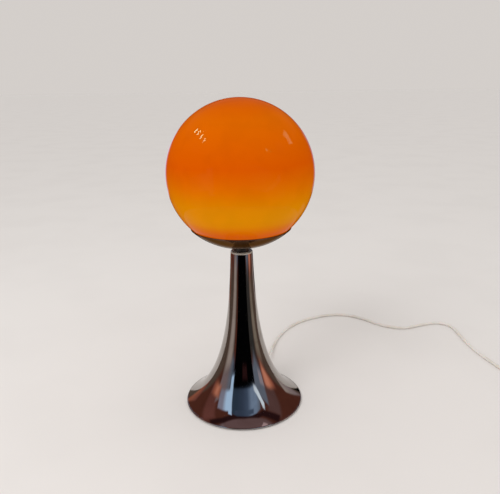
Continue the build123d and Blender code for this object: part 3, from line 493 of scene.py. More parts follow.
def orange_glass():
    """Blown glass, orange over opal, lit from inside: the colour is the light that comes through."""
    finish = Finish("orange_glass", Roughness=0.012, Specular_IOR_Level=0.02, Emission_Strength=1.0)
    tree = finish.tree
    height = parts_of(tree, object_place(tree))[2]
    level = mapped(tree, height, GLOBE_CENTRE - GLOBE_RADIUS, GLOBE_CENTRE + GLOBE_RADIUS)
    uneven = level + (noise(tree, GLASS_CLOUDS, 1.5, 0.8) - 0.5) * GLASS_SHIFT
    ramp = tree.nodes.new("ShaderNodeValToRGB")
    ramp.color_ramp.interpolation = "LINEAR"
    stops = ramp.color_ramp.elements
    while len(stops) < len(GLASS_HEIGHTS):
        stops.new(1.0)
    for stop, (share, colour) in zip(stops, GLASS_HEIGHTS):
        stop.position = share
        stop.color = (*colour, 1.0)
    plug_in(tree, ramp.inputs[0], uneven)
    slant = Value(tree, add_node(tree, "ShaderNodeLayerWeight").outputs["Facing"])
    finish.colour(slant**LIMB_POWER, Value(tree, ramp.outputs[0]), LIMB_COLOUR, "Emission Color")
    skin = finish.effect("grain", Size=0.03, Detail=2.0)
    finish.colour(skin["Mask"], (0.30, 0.035, 0.0), (0.27, 0.029, 0.0))
    finish.bump(skin["Height"], 0.00012)
    return finish.material


def bulb_glass():
    finish = Finish("bulb_glass", Roughness=0.35, Emission_Strength=1.0)
    cloud = finish.effect("grain", Size=0.02, Detail=2.0)
    finish.colour(cloud["Mask"], (1.0, 0.80, 0.50), (0.95, 0.66, 0.34), "Emission Color")
    finish.colour(cloud["Mask"], (0.80, 0.78, 0.74), (0.74, 0.71, 0.66))
    finish.bump(finish.effect("grain", Size=0.0005)["Height"], 0.00001)
    return finish.material


def clear_glass():
    finish = Finish("clear_glass", Roughness=0.03, Transmission_Weight=1.0, IOR=1.5)
    flow = finish.effect("grain", Size=0.004, Detail=2.0)
    finish.colour(flow["Mask"], (0.93, 0.95, 0.93), (0.86, 0.90, 0.88))
    finish.bump(flow["Height"], 0.0001)
    return finish.material


def cord_white():
    finish = Finish("cord_white", Subsurface_Weight=0.12, Subsurface_Scale=0.002)
    grime = finish.wear((0.84, 0.81, 0.76), (0.72, 0.67, 0.60), 0.05, 0.38, 0.55)
    finish.feed(finish.effect("dust", Surface=grime, Amount=0.2)["Color"])
    finish.bump(finish.effect("grain", Size=0.0016)["Height"], 0.00003)
    return finish.material


FINISHES = {
    **{name: metal(name, *values) for name, values in METALS.items()},
    **{name: plastic(name, *values) for name, values in PLASTICS.items()},
    **{
        make.__name__: make()
        for make in (dark_metal, iron, felt, orange_glass, bulb_glass, clear_glass, cord_white)
    },
}


def dress_nodes():
    """Gives every CAD piece the finish of its material slot."""
    for row in frame["record"]["subparts"]:
        node = frame["nodes"][row["node"]]
        if not node.material_slots:
            node.data.materials.append(None)
        for slot in node.material_slots:
            slot.material = FINISHES[row["material_slot"]]


def stands_for(piece, slot, *nodes, body="root"):
    """A piece that takes the place of CAD nodes, with a finish of its own."""
    piece.data.materials.clear()
    piece.data.materials.append(FINISHES[slot])
    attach(piece, body)
    if nodes:
        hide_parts(*nodes)
    return piece


# ---- Turned pieces ----


SHARP_EDGE = radians(35.0)
AXIS_REACH = 1e-7  # a point of a section this near the axis is on it
GLOBE_SIDES = 224
GLOBE_STEPS = (110, 90)  # along the outer and the inner wall
LIP_SLANT = 0.7  # how far the ground edge is cut in, for its height
DISH_STEPS = 60
ROUND_STEPS = 8  # round the dish's rim and the collar's edge


def smoothed(thing):
    """Shades a piece smooth, except where it has a real edge."""
    thing.data.shade_smooth()
    thing.data.set_sharp_from_angle(angle=SHARP_EDGE)
    return thing


def turn(name, section, sides):
    """Turns a closed section of (radius, height), given anticlockwise, about the lamp's axis."""
    vertices = []
    rings = []
    for radius, height in section:
        if radius < AXIS_REACH:
            rings.append([len(vertices)] * sides)
            vertices.append((0.0, 0.0, height))
            continue
        rings.append(list(range(len(vertices), len(vertices) + sides)))
        for side in range(sides):
            angle = 2 * pi * side / sides
            vertices.append((radius * cos(angle), radius * sin(angle), height))
    faces = []
    for lower, upper in zip(rings, rings[1:] + rings[:1]):
        for side in range(sides):
            after = (side + 1) % sides
            corners = [lower[side], lower[after], upper[after], upper[side]]
            face = list(dict.fromkeys(corners))
            if len(face) > 2:
                faces.append(face)
    mesh = bpy.data.meshes.new(name)
    mesh.from_pydata(vertices, [], faces)
    mesh.update()
    return smoothed(in_scene(name, mesh))


def arc(centre_height, radius, start, end, steps):
    """Points of an arc about a place on the axis, between two angles from the level through it."""
    angles = [start + (end - start) * step / steps for step in range(steps + 1)]
    return [(max(radius * cos(angle), 0.0), centre_height + radius * sin(angle)) for angle in angles]


def make_globe():
    """Two walls of a ball, cut off level at the mouth, with a ground edge there."""
    inside = GLOBE_RADIUS - GLOBE_WALL
    depth = GLOBE_CENTRE - mouth_height - GROUND_EDGE
    outer = arc(GLOBE_CENTRE, GLOBE_RADIUS, -asin(depth / GLOBE_RADIUS), pi / 2, GLOBE_STEPS[0])
    inner = arc(GLOBE_CENTRE, inside, pi / 2, -asin(depth / inside), GLOBE_STEPS[1])
    outer_lip = (outer[0][0] - LIP_SLANT * GROUND_EDGE, mouth_height)
    inner_lip = (inner[-1][0] + LIP_SLANT * GROUND_EDGE, mouth_height)
    globe = turn("glass_globe", [outer_lip, *outer, *inner, inner_lip], GLOBE_SIDES)
    return stands_for(globe, "orange_glass", "globe", body="globe")


def make_dish():
    """The dish follows the glass, with a rounded rim, and is pressed flat round its hole."""
    under = GLOBE_RADIUS + DISH_GAP + DISH_WALL
    over = GLOBE_RADIUS + DISH_GAP
    rim_angle = asin(DISH_RIM_RADIUS / under) - pi / 2
    flat_angle = asin(DISH_FLAT_RADIUS / under) - pi / 2
    flat_under = GLOBE_CENTRE - sqrt(under**2 - DISH_FLAT_RADIUS**2)
    flat_over = flat_under + DISH_WALL
    over_edge = sqrt(over**2 - (GLOBE_CENTRE - flat_over) ** 2)
    outside = arc(GLOBE_CENTRE, under, flat_angle, rim_angle, DISH_STEPS)
    inside = arc(GLOBE_CENTRE, over, rim_angle, asin(over_edge / over) - pi / 2, DISH_STEPS)
    middle = (under + over) / 2
    rim = []
    for step in range(1, ROUND_STEPS):
        swing = pi * step / ROUND_STEPS
        radius = middle + DISH_WALL / 2 * cos(swing)
        lift = DISH_WALL / 2 * sin(swing) / middle
        rim.append((radius * cos(rim_angle + lift), GLOBE_CENTRE + radius * sin(rim_angle + lift)))
    section = [(ROD_HOLE, flat_under), *outside, *rim, *inside, (ROD_HOLE, flat_over)]
    dish = stands_for(turn("chrome_dish", section, GLOBE_SIDES), "chrome", "dish")
    # The dish's chrome is painted darker and browner: painted shade in what it mirrors.
    dish.data.materials[0] = dish_chrome_painted_dark()


def flare_radius(height):
    sweep = FLARE["Sweep"] * exp(-height / FLARE["Sweep height"])
    return FLARE["Stem"] + sweep + FLARE["Toe"] * exp(-height / FLARE["Toe height"])


def make_collar():
    """The ring that closes the stem, with a rounded top edge."""
    outer = flare_radius(STEM_TOP)
    rounding = []
    for step in range(ROUND_STEPS + 1):
        swing = pi / 2 * step / ROUND_STEPS
        inwards, down = COLLAR_ROUND * (1 - cos(swing)), COLLAR_ROUND * (1 - sin(swing))
        rounding.append((outer - inwards, collar_high.z - down))
    section = [
        (ROD_HOLE, collar_low.z),
        (COLLAR_SPIGOT, collar_low.z),
        (COLLAR_SPIGOT, STEM_TOP),
        (outer, STEM_TOP),
        *rounding,
        (ROD_HOLE, collar_high.z),
    ]
    ring = stands_for(turn("stem_ring", section, sides=128), "chrome", "stem_collar")
    ring.data.materials[0] = satin_ring()


# ---- Pieces made by rules ----


def bake(name, tree, values):
    """Runs a Geometry Nodes tree with its named inputs and keeps the result as a plain mesh."""
    carrier = in_scene(name + "_carrier", bpy.data.meshes.new(name + "_carrier"))
    modifier = carrier.modifiers.new("shape", "NODES")
    modifier.node_group = tree
    identifiers = {
        item.name: item.identifier
        for item in tree.interface.items_tree
        if item.item_type == "SOCKET" and item.in_out == "INPUT"
    }
    for label, value in values.items():
        modifier[identifiers[label]] = value
    evaluated = carrier.evaluated_get(bpy.context.evaluated_depsgraph_get())
    mesh = bpy.data.meshes.new_from_object(evaluated)
    mesh.name = name
    bpy.data.objects.remove(carrier)
    return smoothed(in_scene(name, mesh))


def as_piece(tree, given, *parts):
    """A shape's parts as one real mesh with its finish."""
    together = add_node(tree, "GeometryNodeJoinGeometry")
    for part in parts:
        plug_in(tree, together.inputs[0], part)
    real = made(tree, "GeometryNodeRealizeInstances", {"Geometry": together.outputs[0]})
    coat = {"Geometry": real, "Material": given["Finish"]}
    return {"Geometry": made(tree, "GeometryNodeSetMaterial", coat)}


def on_circle(tree, radius, angle, height):
    """The place at a radius, an angle and a height about the lamp's axis."""
    sides = {"X": angle.math("COSINE") * radius, "Y": angle.math("SINE") * radius}
    return made(tree, "ShaderNodeCombineXYZ", {**sides, "Z": height})


def moved_by(tree, shape, shift, turned=None):
    inputs = {"Geometry": shape, "Translation": shift}
    if turned:
        inputs["Rotation"] = turned
    return made(tree, "GeometryNodeTransform", inputs)


def tube(tree, path, radius, sides, scale=1.0, capped=False):
    """A round tube along a path."""
    circle = made(tree, "GeometryNodeCurvePrimitiveCircle", {"Resolution": sides, "Radius": radius})
    inputs = {"Curve": path, "Profile Curve": circle, "Scale": scale, "Fill Caps": capped}
    return made(tree, "GeometryNodeCurveToMesh", inputs)


FLARE_ROWS = 110
FLARE_SIDES = 224
FLARE_CROWDING = 1.7  # rows lie closer together towards the foot, where the flare bends most
FLARE_MERGE = 0.000002
RIM_SIDES = 20
DRILL_SIDES = 64
DRILL_LENGTH = 0.05
DRILL_DISTANCE = 0.08  # of the drill's middle, from the axis


def flare(tree, given):
    """The flare's two walls as one closed shell, less the hole for the cord, with its rolled edge."""
    counts = {"Vertices X": FLARE_SIDES + 1, "Vertices Y": 2 * FLARE_ROWS + 1}
    grid = made(tree, "GeometryNodeMeshGrid", {"Size X": 1.0, "Size Y": 1.0, **counts})
    x, y, _ = parts_of(tree, made(tree, "GeometryNodeInputPosition"))
    turned = (x + 0.5) * (2 * pi)
    row = ((y + 0.5) * (2.0 * FLARE_ROWS)).math("ROUND").math("MODULO", 2.0 * FLARE_ROWS)
    share = row.math("MINIMUM", (2.0 * FLARE_ROWS - 1) - row)
    share = (share / (FLARE_ROWS - 1.0)) ** FLARE_CROWDING
    inset = given["Wall"] * row.math("GREATER_THAN", FLARE_ROWS - 0.5)
    height = given["Foot"] + (given["Top"] - given["Foot"]) * share
    sweep = given["Sweep"] * (height / given["Sweep height"] * -1.0).math("EXPONENT")
    toe = given["Toe"] * (height / given["Toe height"] * -1.0).math("EXPONENT")
    slope = sweep / given["Sweep height"] + toe / given["Toe height"]
    inward = inset / (slope**2.0 + 1.0).math("SQRT")
    radius = given["Stem"] + (sweep + toe) - inward
    place = on_circle(tree, radius, turned, height - inward * slope)
    wrapped = made(tree, "GeometryNodeSetPosition", {"Geometry": grid, "Position": place})
    closing = {"Geometry": wrapped, "Distance": FLARE_MERGE}
    shell = made(tree, "GeometryNodeMergeByDistance", closing)
    drill_size = {"Vertices": DRILL_SIDES, "Radius": given["Hole"], "Depth": DRILL_LENGTH}
    drill = made(tree, "GeometryNodeMeshCylinder", drill_size)
    heading = given["Hole direction"]
    aim = made(tree, "ShaderNodeCombineXYZ", {"Y": pi / 2, "Z": heading})
    drill_place = on_circle(tree, DRILL_DISTANCE, heading, given["Hole height"])
    meshes = {"Mesh 1": shell, "Mesh 2": moved_by(tree, drill, drill_place, aim)}
    drilled = made(tree, "GeometryNodeMeshBoolean", meshes, operation="DIFFERENCE", solver="EXACT")
    ring_size = {"Resolution": FLARE_SIDES, "Radius": given["Rim"] - given["Bead"]}
    ring = made(tree, "GeometryNodeCurvePrimitiveCircle", ring_size)
    lift = made(tree, "ShaderNodeCombineXYZ", {"Z": given["Lift"] + given["Bead"]})
    rolled = tube(tree, moved_by(tree, ring, lift), given["Bead"], RIM_SIDES)
    return as_piece(tree, given, rolled, drilled)


def make_flare():
    values = {**FLARE, "Finish": FINISHES["chrome"]}
    shell = bake("chrome_flare", make_group(flare, "GeometryNodeTree", values), values)
    stands_for(shell, "chrome", "trumpet")


SLEEVE_NEAR = 0.061  # the strain relief's two ends, from the axis
SLEEVE_TIP = 0.104
SLEEVE_STEPS = 240
SLEEVE_SIDES = 48
SLEEVE_PLAIN_TIP = 0.0022  # without a groove
SLEEVE_TIP_ROUND = 0.0006  # how far the tip's edge is rounded
SLEEVE_TIP_CURVE = 0.0008
SLEEVE_LAND = 0.1  # the part of a groove's wave that is cut off, which leaves a land between grooves
NEVER_ZERO = 0.00001


def grooved_sleeve(tree, given):
    """A tapered sleeve along a line, with a flange at its start and soft grooves towards its tip."""
    line = made(tree, "GeometryNodeCurvePrimitiveLine", {"Start": given["Start"], "End": given["End"]})
    fine = made(tree, "GeometryNodeResampleCurve", {"Curve": line, "Count": SLEEVE_STEPS})
    gone = Value(tree, add_node(tree, "GeometryNodeSplineParameter").outputs["Length"])
    left = (SLEEVE_TIP - SLEEVE_NEAR) - gone
    taper = gone - given["Taper from"]
    share = (taper / (taper + left + NEVER_ZERO)).math("MAXIMUM", 0.0)
    drop = (given["Radius"] - given["Tip"]) * share
    wave = (gone * (2 * pi) / given["Groove spacing"]).math("COSINE")
    wave = (wave - SLEEVE_LAND).math("MAXIMUM", 0.0)
    wave = wave * gone.math("GREATER_THAN", given["Taper from"])
    wave = wave * left.math("GREATER_THAN", SLEEVE_PLAIN_TIP)
    rounding = (left * SLEEVE_TIP_CURVE).math("MAXIMUM", 0.0).math("SQRT")
    body = given["Radius"] - drop - wave * given["Groove depth"]
    body = body - (SLEEVE_TIP_ROUND - rounding).math("MAXIMUM", 0.0)
    step = (given["Flange"] - body) * gone.math("LESS_THAN", given["Flange length"])
    return as_piece(tree, given, tube(tree, fine, 1.0, SLEEVE_SIDES, body + step, True))


def make_sleeve():
    """The strain relief on the cord where it leaves the base."""
    heading = Vector((cos(EXIT_ANGLE), sin(EXIT_ANGLE), 0))
    level = Vector((0, 0, EXIT_HEIGHT))
    values = {
        "Start": level + SLEEVE_NEAR * heading,
        "End": level + SLEEVE_TIP * heading,
        "Flange": 0.0062,
        "Flange length": 0.002,
        "Radius": 0.0044,
        "Tip": 0.0029,
        "Taper from": 0.0205,
        "Groove depth": 0.0006,
        "Groove spacing": 0.0022,
        "Finish": FINISHES["white_plastic"],
    }
    sleeve = bake("cord_sleeve", make_group(grooved_sleeve, "GeometryNodeTree", values), values)
    stands_for(sleeve, "white_plastic", "strain_relief")


RIDGE_SIDES = 8
RIDGE_FADE = 12.0  # how soon the ridge reaches its full size from either end
RIDGE_THINNEST = 0.05


def screw_thread(tree, given):
    """The ridge of a screw thread about the lamp's axis, thin at both ends."""
    size = {"Start Radius": given["Radius"], "End Radius": given["Radius"], "Height": given["Height"]}
    turns = given["Height"] / given["Pitch"]
    coil = {"Resolution": given["Steps"], "Rotations": turns, **size}
    spiral = made(tree, "GeometryNodeCurveSpiral", coil)
    up = made(tree, "ShaderNodeCombineXYZ", {"Z": given["Start"]})
    along = made(tree, "GeometryNodeSplineParameter")
    fade = ((along * pi).math("SINE") * RIDGE_FADE).math("MINIMUM", 1.0).math("MAXIMUM", RIDGE_THINNEST)
    ridge = tube(tree, moved_by(tree, spiral, up), given["Ridge"], RIDGE_SIDES, fade, True)
    return as_piece(tree, given, ridge)


def joined(name, *things):
    """One piece from several, which are taken away."""
    shape = bmesh.new()
    for thing in things:
        shape.from_mesh(thing.data)
        bpy.data.objects.remove(thing)
    mesh = bpy.data.meshes.new(name)
    shape.to_mesh(mesh)
    shape.free()
    return smoothed(in_scene(name, mesh))


# The threaded tube: its two threaded ends, by start and height, and its plain middle
TUBE_LOW = 0.031
TUBE_HIGH = 0.253
TUBE_BORE = 0.0039
TUBE_CORE = 0.0044
TUBE_PLAIN = 0.0049
TUBE_THREADS = ((0.0316, 0.0144), (0.2266, 0.0258))
TUBE_THREAD = {
    "Radius": 0.0045,
    "Start": 0.0,
    "Height": 0.01,
    "Pitch": 0.001,
    "Ridge": 0.0004,
    "Steps": 40,
    "Finish": FINISHES["steel"],
}
THREAD_TREE = make_group(screw_thread, "GeometryNodeTree", TUBE_THREAD)


def make_tube():
    """The clamping tube, whose ends are cut back to the root of their thread."""
    plain_low = sum(TUBE_THREADS[0])
    plain_high = TUBE_THREADS[1][0]
    section = [
        (TUBE_BORE, TUBE_LOW),
        (TUBE_CORE, TUBE_LOW),
        (TUBE_CORE, plain_low),
        (TUBE_PLAIN, plain_low),
        (TUBE_PLAIN, plain_high),
        (TUBE_CORE, plain_high),
        (TUBE_CORE, TUBE_HIGH),
        (TUBE_BORE, TUBE_HIGH),
    ]
    pieces = [turn("tube_core", section, sides=64)]
    for start, height in TUBE_THREADS:
        pieces.append(bake("tube_thread", THREAD_TREE, {**TUBE_THREAD, "Start": start, "Height": height}))
    stands_for(joined("clamping_tube", *pieces), "steel", "threaded_tube")


# The bulb's cap: a thin shell with a round thread, and a plain band that grips the glass
CAP_LOW = 0.2756
CAP_HIGH = 0.296
CAP_BORE = 0.0116
CAP_ROOT = 0.0122
CAP_NECK = 0.0126
CAP_BAND = 0.0131
CAP_PITCH = 0.003629
CAP_THREAD = {
    "Radius": 0.01245,
    "Start": CAP_LOW + 0.0009,
    "Height": 0.0134,
    "Pitch": CAP_PITCH,
    "Ridge": 0.0006,
    "Steps": 64,
    "Finish": FINISHES["bulb_metal"],
}


def make_bulb_cap():
    neck = CAP_LOW + 4 * CAP_PITCH
    section = [
        (CAP_BORE, CAP_LOW),
        (CAP_ROOT - 0.0002, CAP_LOW),
        (CAP_ROOT, CAP_LOW + 0.0003),
        (CAP_ROOT, neck),
        (CAP_NECK, neck + 0.0005),
        (CAP_NECK, CAP_HIGH - 0.003),
        (CAP_BAND - 0.0001, CAP_HIGH - 0.0026),
        (CAP_BAND, CAP_HIGH - 0.0023),
        (CAP_BAND, CAP_HIGH - 0.0004),
        (CAP_BAND - 0.0003, CAP_HIGH),
        (CAP_BORE, CAP_HIGH),
    ]
    ridge = bake("cap_thread", THREAD_TREE, CAP_THREAD)
    cap = joined("threaded_cap", turn("cap_shell", section, sides=96), ridge)
    stands_for(cap, "bulb_metal", "bulb_cap", body="bulb")


def grip_bars(tree, given):
    """Rounded bars laid side by side, for fingers to grip."""
    line = {"Count": given["Count"], "Start Location": given["Start"], "Offset": given["Step"]}
    places = made(tree, "GeometryNodeMeshLine", line)
    ball = made(tree, "GeometryNodeMeshUVSphere", {"Segments": 24, "Rings": 12, "Radius": 0.5})
    laid = {"Points": places, "Instance": ball, "Rotation": given["Turned"], "Scale": given["Size"]}
    return as_piece(tree, given, made(tree, "GeometryNodeInstanceOnPoints", laid))


PLUG_BARS = {
    "Count": 7,
    "Start": Vector((0.543, -0.0045, 0.0164)),
    "Step": Vector((0, 0.0025, 0)),
    "Turned": Vector((0, 0, 0)),
    "Size": Vector((0.02, 0.0013, 0.0011)),
    "Finish": FINISHES["white_plastic"],
}
SWITCH_MIDDLE = Vector((0.449, -0.034, 0.0143))
SWITCH_HEADING = radians(-77.0)
ROCKER_TILT = radians(7.0)
ROCKER_FACE = 0.00229  # how far the face lies outside the pivot, at the first bar
ROCKER_BAR_SIZE = Vector((0.0008, 0.0096, 0.0007))
FIRST_BAR = 0.0062  # from the rocker's middle
NEXT_BAR = 0.0018  # from bar to bar
NEXT_BAR_OUT = 0.00026  # how much further out each bar lies
FACE_SLOPE = 0.14


def make_grips():
    """The bars on the plug's upper side and on the two ends of the rocker."""
    tree = make_group(grip_bars, "GeometryNodeTree", PLUG_BARS)
    plug_grip = stands_for(bake("plug_grip", tree, PLUG_BARS), "white_plastic")
    flat = Vector((cos(SWITCH_HEADING), sin(SWITCH_HEADING), 0))
    along = flat * cos(ROCKER_TILT) + Vector((0, 0, sin(ROCKER_TILT)))
    out = Vector((0, 0, cos(ROCKER_TILT))) - flat * sin(ROCKER_TILT)
    for side, name in ((1, "rocker_grip_on"), (-1, "rocker_grip_off")):
        values = {
            "Count": 3,
            "Start": SWITCH_MIDDLE + along * side * FIRST_BAR + out * ROCKER_FACE,
            "Step": along * side * NEXT_BAR + out * NEXT_BAR_OUT,
            "Turned": Vector((0, -side * FACE_SLOPE - ROCKER_TILT, SWITCH_HEADING)),
            "Size": ROCKER_BAR_SIZE,
            "Finish": FINISHES["white_plastic"],
        }
        stands_for(bake(name, tree, values), "white_plastic", body="rocker")
    return plug_grip


# ---- Felt ----

FELT_RADIUS = 0.0805
FELT_HOLE = 0.006
FELT_HIGH = 0.002
FELT_EDGE = 0.0004  # how far its cut edges are rounded
FELT_WAVE = 0.00012  # how deep its underside waves
FELT_WAVES = (900.0, 2300.0)  # in radians to the metre
FELT_RINGS = 40


def make_felt():
    """A disc of felt under the base, softly uneven below, its cut edge a little rounded."""
    below = []
    for ring in range(FELT_RINGS + 1):
        radius = FELT_HOLE + FELT_EDGE + (FELT_RADIUS - FELT_HOLE - 2.5 * FELT_EDGE) * ring / FELT_RINGS
        wave = sin(radius * FELT_WAVES[0]) * cos(radius * FELT_WAVES[1])
        below.append((radius, FELT_WAVE * (1 + wave)))
    section = [
        (FELT_HOLE, FELT_EDGE),
        *below,
        (FELT_RADIUS - FELT_EDGE / 2, 0.75 * FELT_EDGE),
        (FELT_RADIUS, 2 * FELT_EDGE),
        (FELT_RADIUS - FELT_EDGE / 4, FELT_HIGH - 0.75 * FELT_EDGE),
        (FELT_RADIUS - FELT_EDGE, FELT_HIGH),
        (FELT_HOLE, FELT_HIGH),
    ]
    felt_disc = stands_for(turn("felt_disc", section, sides=128), "felt", "felt_pad")


# ---- Cords ----


def nurbs_cord(name, route):
    """A round cord whose smooth line has the route's points as its control points."""
    curve = bpy.data.curves.new(name, "CURVE")
    curve.dimensions = "3D"
    curve.bevel_depth = CORD_DIAMETER / 2
    curve.bevel_resolution = 5
    curve.resolution_u = 8
    curve.use_fill_caps = True
    spline = curve.splines.new("NURBS")
    spline.points.add(len(route) - 1)
    for point, place in zip(spline.points, route):
        point.co = (*place, 1.0)
    spline.order_u = 3
    spline.use_endpoint_u = True
    return in_scene(name, curve)


def coil_route():
    """The coil winds inwards, climbs a layer in half a turn and winds out again to the plug."""
    centre = COIL_START - Vector((COIL_RADIUS, 0, 0))
    route = []
    for step in range(COIL_TURNS * COIL_POINTS + 1):
        turn_now = step / COIL_POINTS
        radius = COIL_RADIUS - COIL_STEP * min(turn_now, COIL_TURNS - turn_now)
        climb = min(max((turn_now - COIL_TURNS / 2 + COIL_CLIMB / 2) / COIL_CLIMB, 0.0), 1.0)
        height = COIL_RISE * (3 * climb**2 - 2 * climb**3)
        angle = 2 * pi * turn_now
        route.append(centre + Vector((radius * cos(angle), radius * sin(angle), height)))
    route.append(route[-1] + Vector((0, COIL_TO_PLUG, 0)))
    return route


def make_cords(plug_grip):
    stretch = stands_for(nurbs_cord("mains_cord", STRETCH_ROUTE), "cord_white", "cord_stretch")
    wound = nurbs_cord("coiled_cord", TAIL_ROUTE + coil_route())
    stands_for(wound, "cord_white", "cord_tail", "cord_coil")


# ---- Floor, studio and light ----

FLOOR_SIZE = 40.0
FLOOR_COLOUR = (0.80, 0.775, 0.755)
FLOOR_SHADE = (0.785, 0.76, 0.74)
WORLD_COLOUR = (0.82, 0.80, 0.785)

# The studio's tent is painted with reflections: a dark room with painted windows, lights and glows, which
# only the metal and the glass mirror. It stands on the floor round the lamp.
# Its directions are seen from a place on the lamp's axis, in degrees: turned from the front, positive
# towards +X, and raised above level.
TENT_RADIUS = 0.5
TENT_CENTRE = 0.06
TENT_STEP = 0.75
TENT_PAINTED_BASE = (0.14, 0.045, 0.03)
BLACK = (0.0015, 0.0015, 0.002)
CHARCOAL = (0.06, 0.058, 0.055)
MAUVE = (0.235, 0.145, 0.15)
MAROON = (0.04, 0.014, 0.015)
TEAL = (0.045, 0.078, 0.13)
SLATE = (0.065, 0.098, 0.17)
STEEL_BLUE = (0.105, 0.16, 0.27)
PALE_BLUE = (0.32, 0.46, 0.69)
SHADED_BLUE = (0.40, 0.42, 0.57)
DAYLIGHT = (0.75, 1.12, 1.6)
WHITE = (1.2, 1.45, 1.68)
DUSK = (0.22, 0.27, 0.36)
BLUSH = (0.48, 0.43, 0.50)
PALE_GREY = (0.58, 0.50, 0.46)
GREY_MAUVE = (0.32, 0.25, 0.27)
GREYED = (0.18, 0.095, 0.09)
RUST = (0.25, 0.09, 0.075)
EMBER = (0.60, 0.20, 0.12)
AMBER = (1.0, 0.40, 0.26)
SPOT = (0.72, 0.52, 0.55)
OLIVE = (0.15, 0.105, 0.082)
BEIGE = (0.36, 0.31, 0.25)

# Each panel has a soft edge's width and its columns: turned, lowest, highest and colour
PANELS = (
    (5.0, ((-200, 66, 130, MAUVE), (-90, 61, 130, MAUVE), (-60, 56, 130, MAUVE), (0, 53.5, 130, MAUVE),
           (60, 53, 130, MAUVE), (90, 57, 130, MAUVE), (200, 66, 130, MAUVE))),
    (9.0, ((-100, 12, 42, RUST), (-76, 12, 46, RUST))),
    (9.0, ((64, 12, 40, GREYED), (92, 10, 42, GREYED))),
    (4.0, ((-88, 45, 52, MAROON), (-60, 49, 57, MAROON), (-32, 48, 56, MAROON), (0, 49, 57, MAROON),
           (40, 46, 54, MAROON), (50, 41, 50, MAROON), (90, 41, 51, MAROON))),
    (4.0, ((-80, 0, 24, GREY_MAUVE), (-62, 0, 22, GREY_MAUVE), (-48, 3, 19, DUSK), (-38, 6, 12, TEAL))),
    (5.0, ((-200, -9, 3, OLIVE), (-84, -9, 1, OLIVE))),
    (5.0, ((92, -9, 1, OLIVE), (200, -9, 3, OLIVE))),
    (6.0, ((-84, -9, 3, OLIVE), (-72, -9, 4, PALE_GREY), (-58, -9, 5, PALE_GREY), (-47, -9, 3, OLIVE))),
    (5.0, ((30, -9, 5, CHARCOAL), (64, -9, 3, CHARCOAL))),
    (6.0, ((62, -9, 0, OLIVE), (70, -9, 1, BEIGE), (82, -9, 0, BEIGE), (92, -9, 0, OLIVE))),
    (5.0, ((36, 8, 22, DUSK), (50, 3, 26, DUSK), (66, 5, 32, DUSK))),
    (4.0, ((55, 7, 14, BLUSH), (67, 7, 14, BLUSH))),
    (2.6, ((-34, 14, 47, TEAL), (-20, 16, 52, TEAL), (-4, 17, 53, SLATE), (10, 17, 53, STEEL_BLUE),
           (22, 17, 51, PALE_BLUE), (34, 16, 47, PALE_BLUE), (44, 18, 40, DUSK))),
    (3.0, ((-26, 43, 49, SLATE), (-8, 44, 51, SLATE), (12, 44, 51, STEEL_BLUE),
           (26, 41, 48, STEEL_BLUE))),
    (2.4, ((-37, -20, 19, BLACK), (-20, -20, 20.5, BLACK), (0, -20, 21, BLACK), (20, -20, 20, BLACK),
           (37, -20, 16, BLACK))),
    (4.0, ((-4, 9, 15, MAROON), (13, 9, 15, MAROON))),
    (4.0, ((-70, 15, 33, SHADED_BLUE), (-59, 17, 38, SHADED_BLUE), (-49, 19, 41, DAYLIGHT),
           (-34, 19, 43, DAYLIGHT))),
    (2.0, ((-43, 11, 46, DAYLIGHT), (-34.5, 11, 49, DAYLIGHT))),
    (2.0, ((31, 17, 21, WHITE), (39, 18, 25, WHITE), (45, 21, 30, WHITE), (50, 26, 37, WHITE),
           (55, 31, 40, WHITE))),
    (2.5, ((56, 58.5, 64.5, SPOT), (69, 58.5, 64.5, SPOT))),
    (4.0, ((-74, 58, 64, GREY_MAUVE), (-62, 58, 64, GREY_MAUVE))),
    # The next two panels: painted reflections of the globe's orange glow on the flare's two flanks.
    (5.0, ((-101, 2, 9, RUST), (-92, 5, 13, EMBER), (-83, 9, 17, AMBER), (-73, 12, 21, EMBER))),
    (5.0, ((68, 4, 13, RUST), (76, 2, 13, AMBER), (84, 2.5, 12, AMBER), (95, 3, 9, EMBER),
           (102, 3, 7, RUST))),
    (2.4, ((-166, 14, 40, SHADED_BLUE), (-150, 16, 44, DAYLIGHT), (-138, 18, 40, PALE_BLUE))),
    (2.4, ((142, 16, 46, PALE_BLUE), (162, 20, 52, STEEL_BLUE), (180, 20, 53, SLATE))),
    (2.4, ((143, -20, 17, BLACK), (180, -20, 20, BLACK), (210, -20, 17, BLACK))),
    (4.0, ((122, -9, 4, PALE_GREY), (140, -9, 4, GREY_MAUVE))),
    (4.0, ((-136, -9, 8, EMBER), (-124, -9, 10, RUST))),
)


def tent_colours(turned, raised):
    """The tent's painted reflections: its base colour and panels, later panels over earlier ones."""
    colours = np.tile(np.array(TENT_PAINTED_BASE), (len(turned), 1))
    for soft, columns in PANELS:
        places, lowest, highest, tints = zip(*columns)
        middle = (places[0] + places[-1]) / 2
        near = middle + (turned - middle + 180) % 360 - 180
        reach = np.minimum.reduce(
            [
                raised - np.interp(near, places, lowest),
                np.interp(near, places, highest) - raised,
                near - places[0],
                places[-1] - near,
            ]
        )
        share = np.clip(reach / soft + 0.5, 0.0, 1.0)
        share = (share * share * (3 - 2 * share))[:, None]
        tint = np.stack([np.interp(near, places, channel) for channel in zip(*tints)], axis=1)
        colours = colours + (tint - colours) * share
    return colours


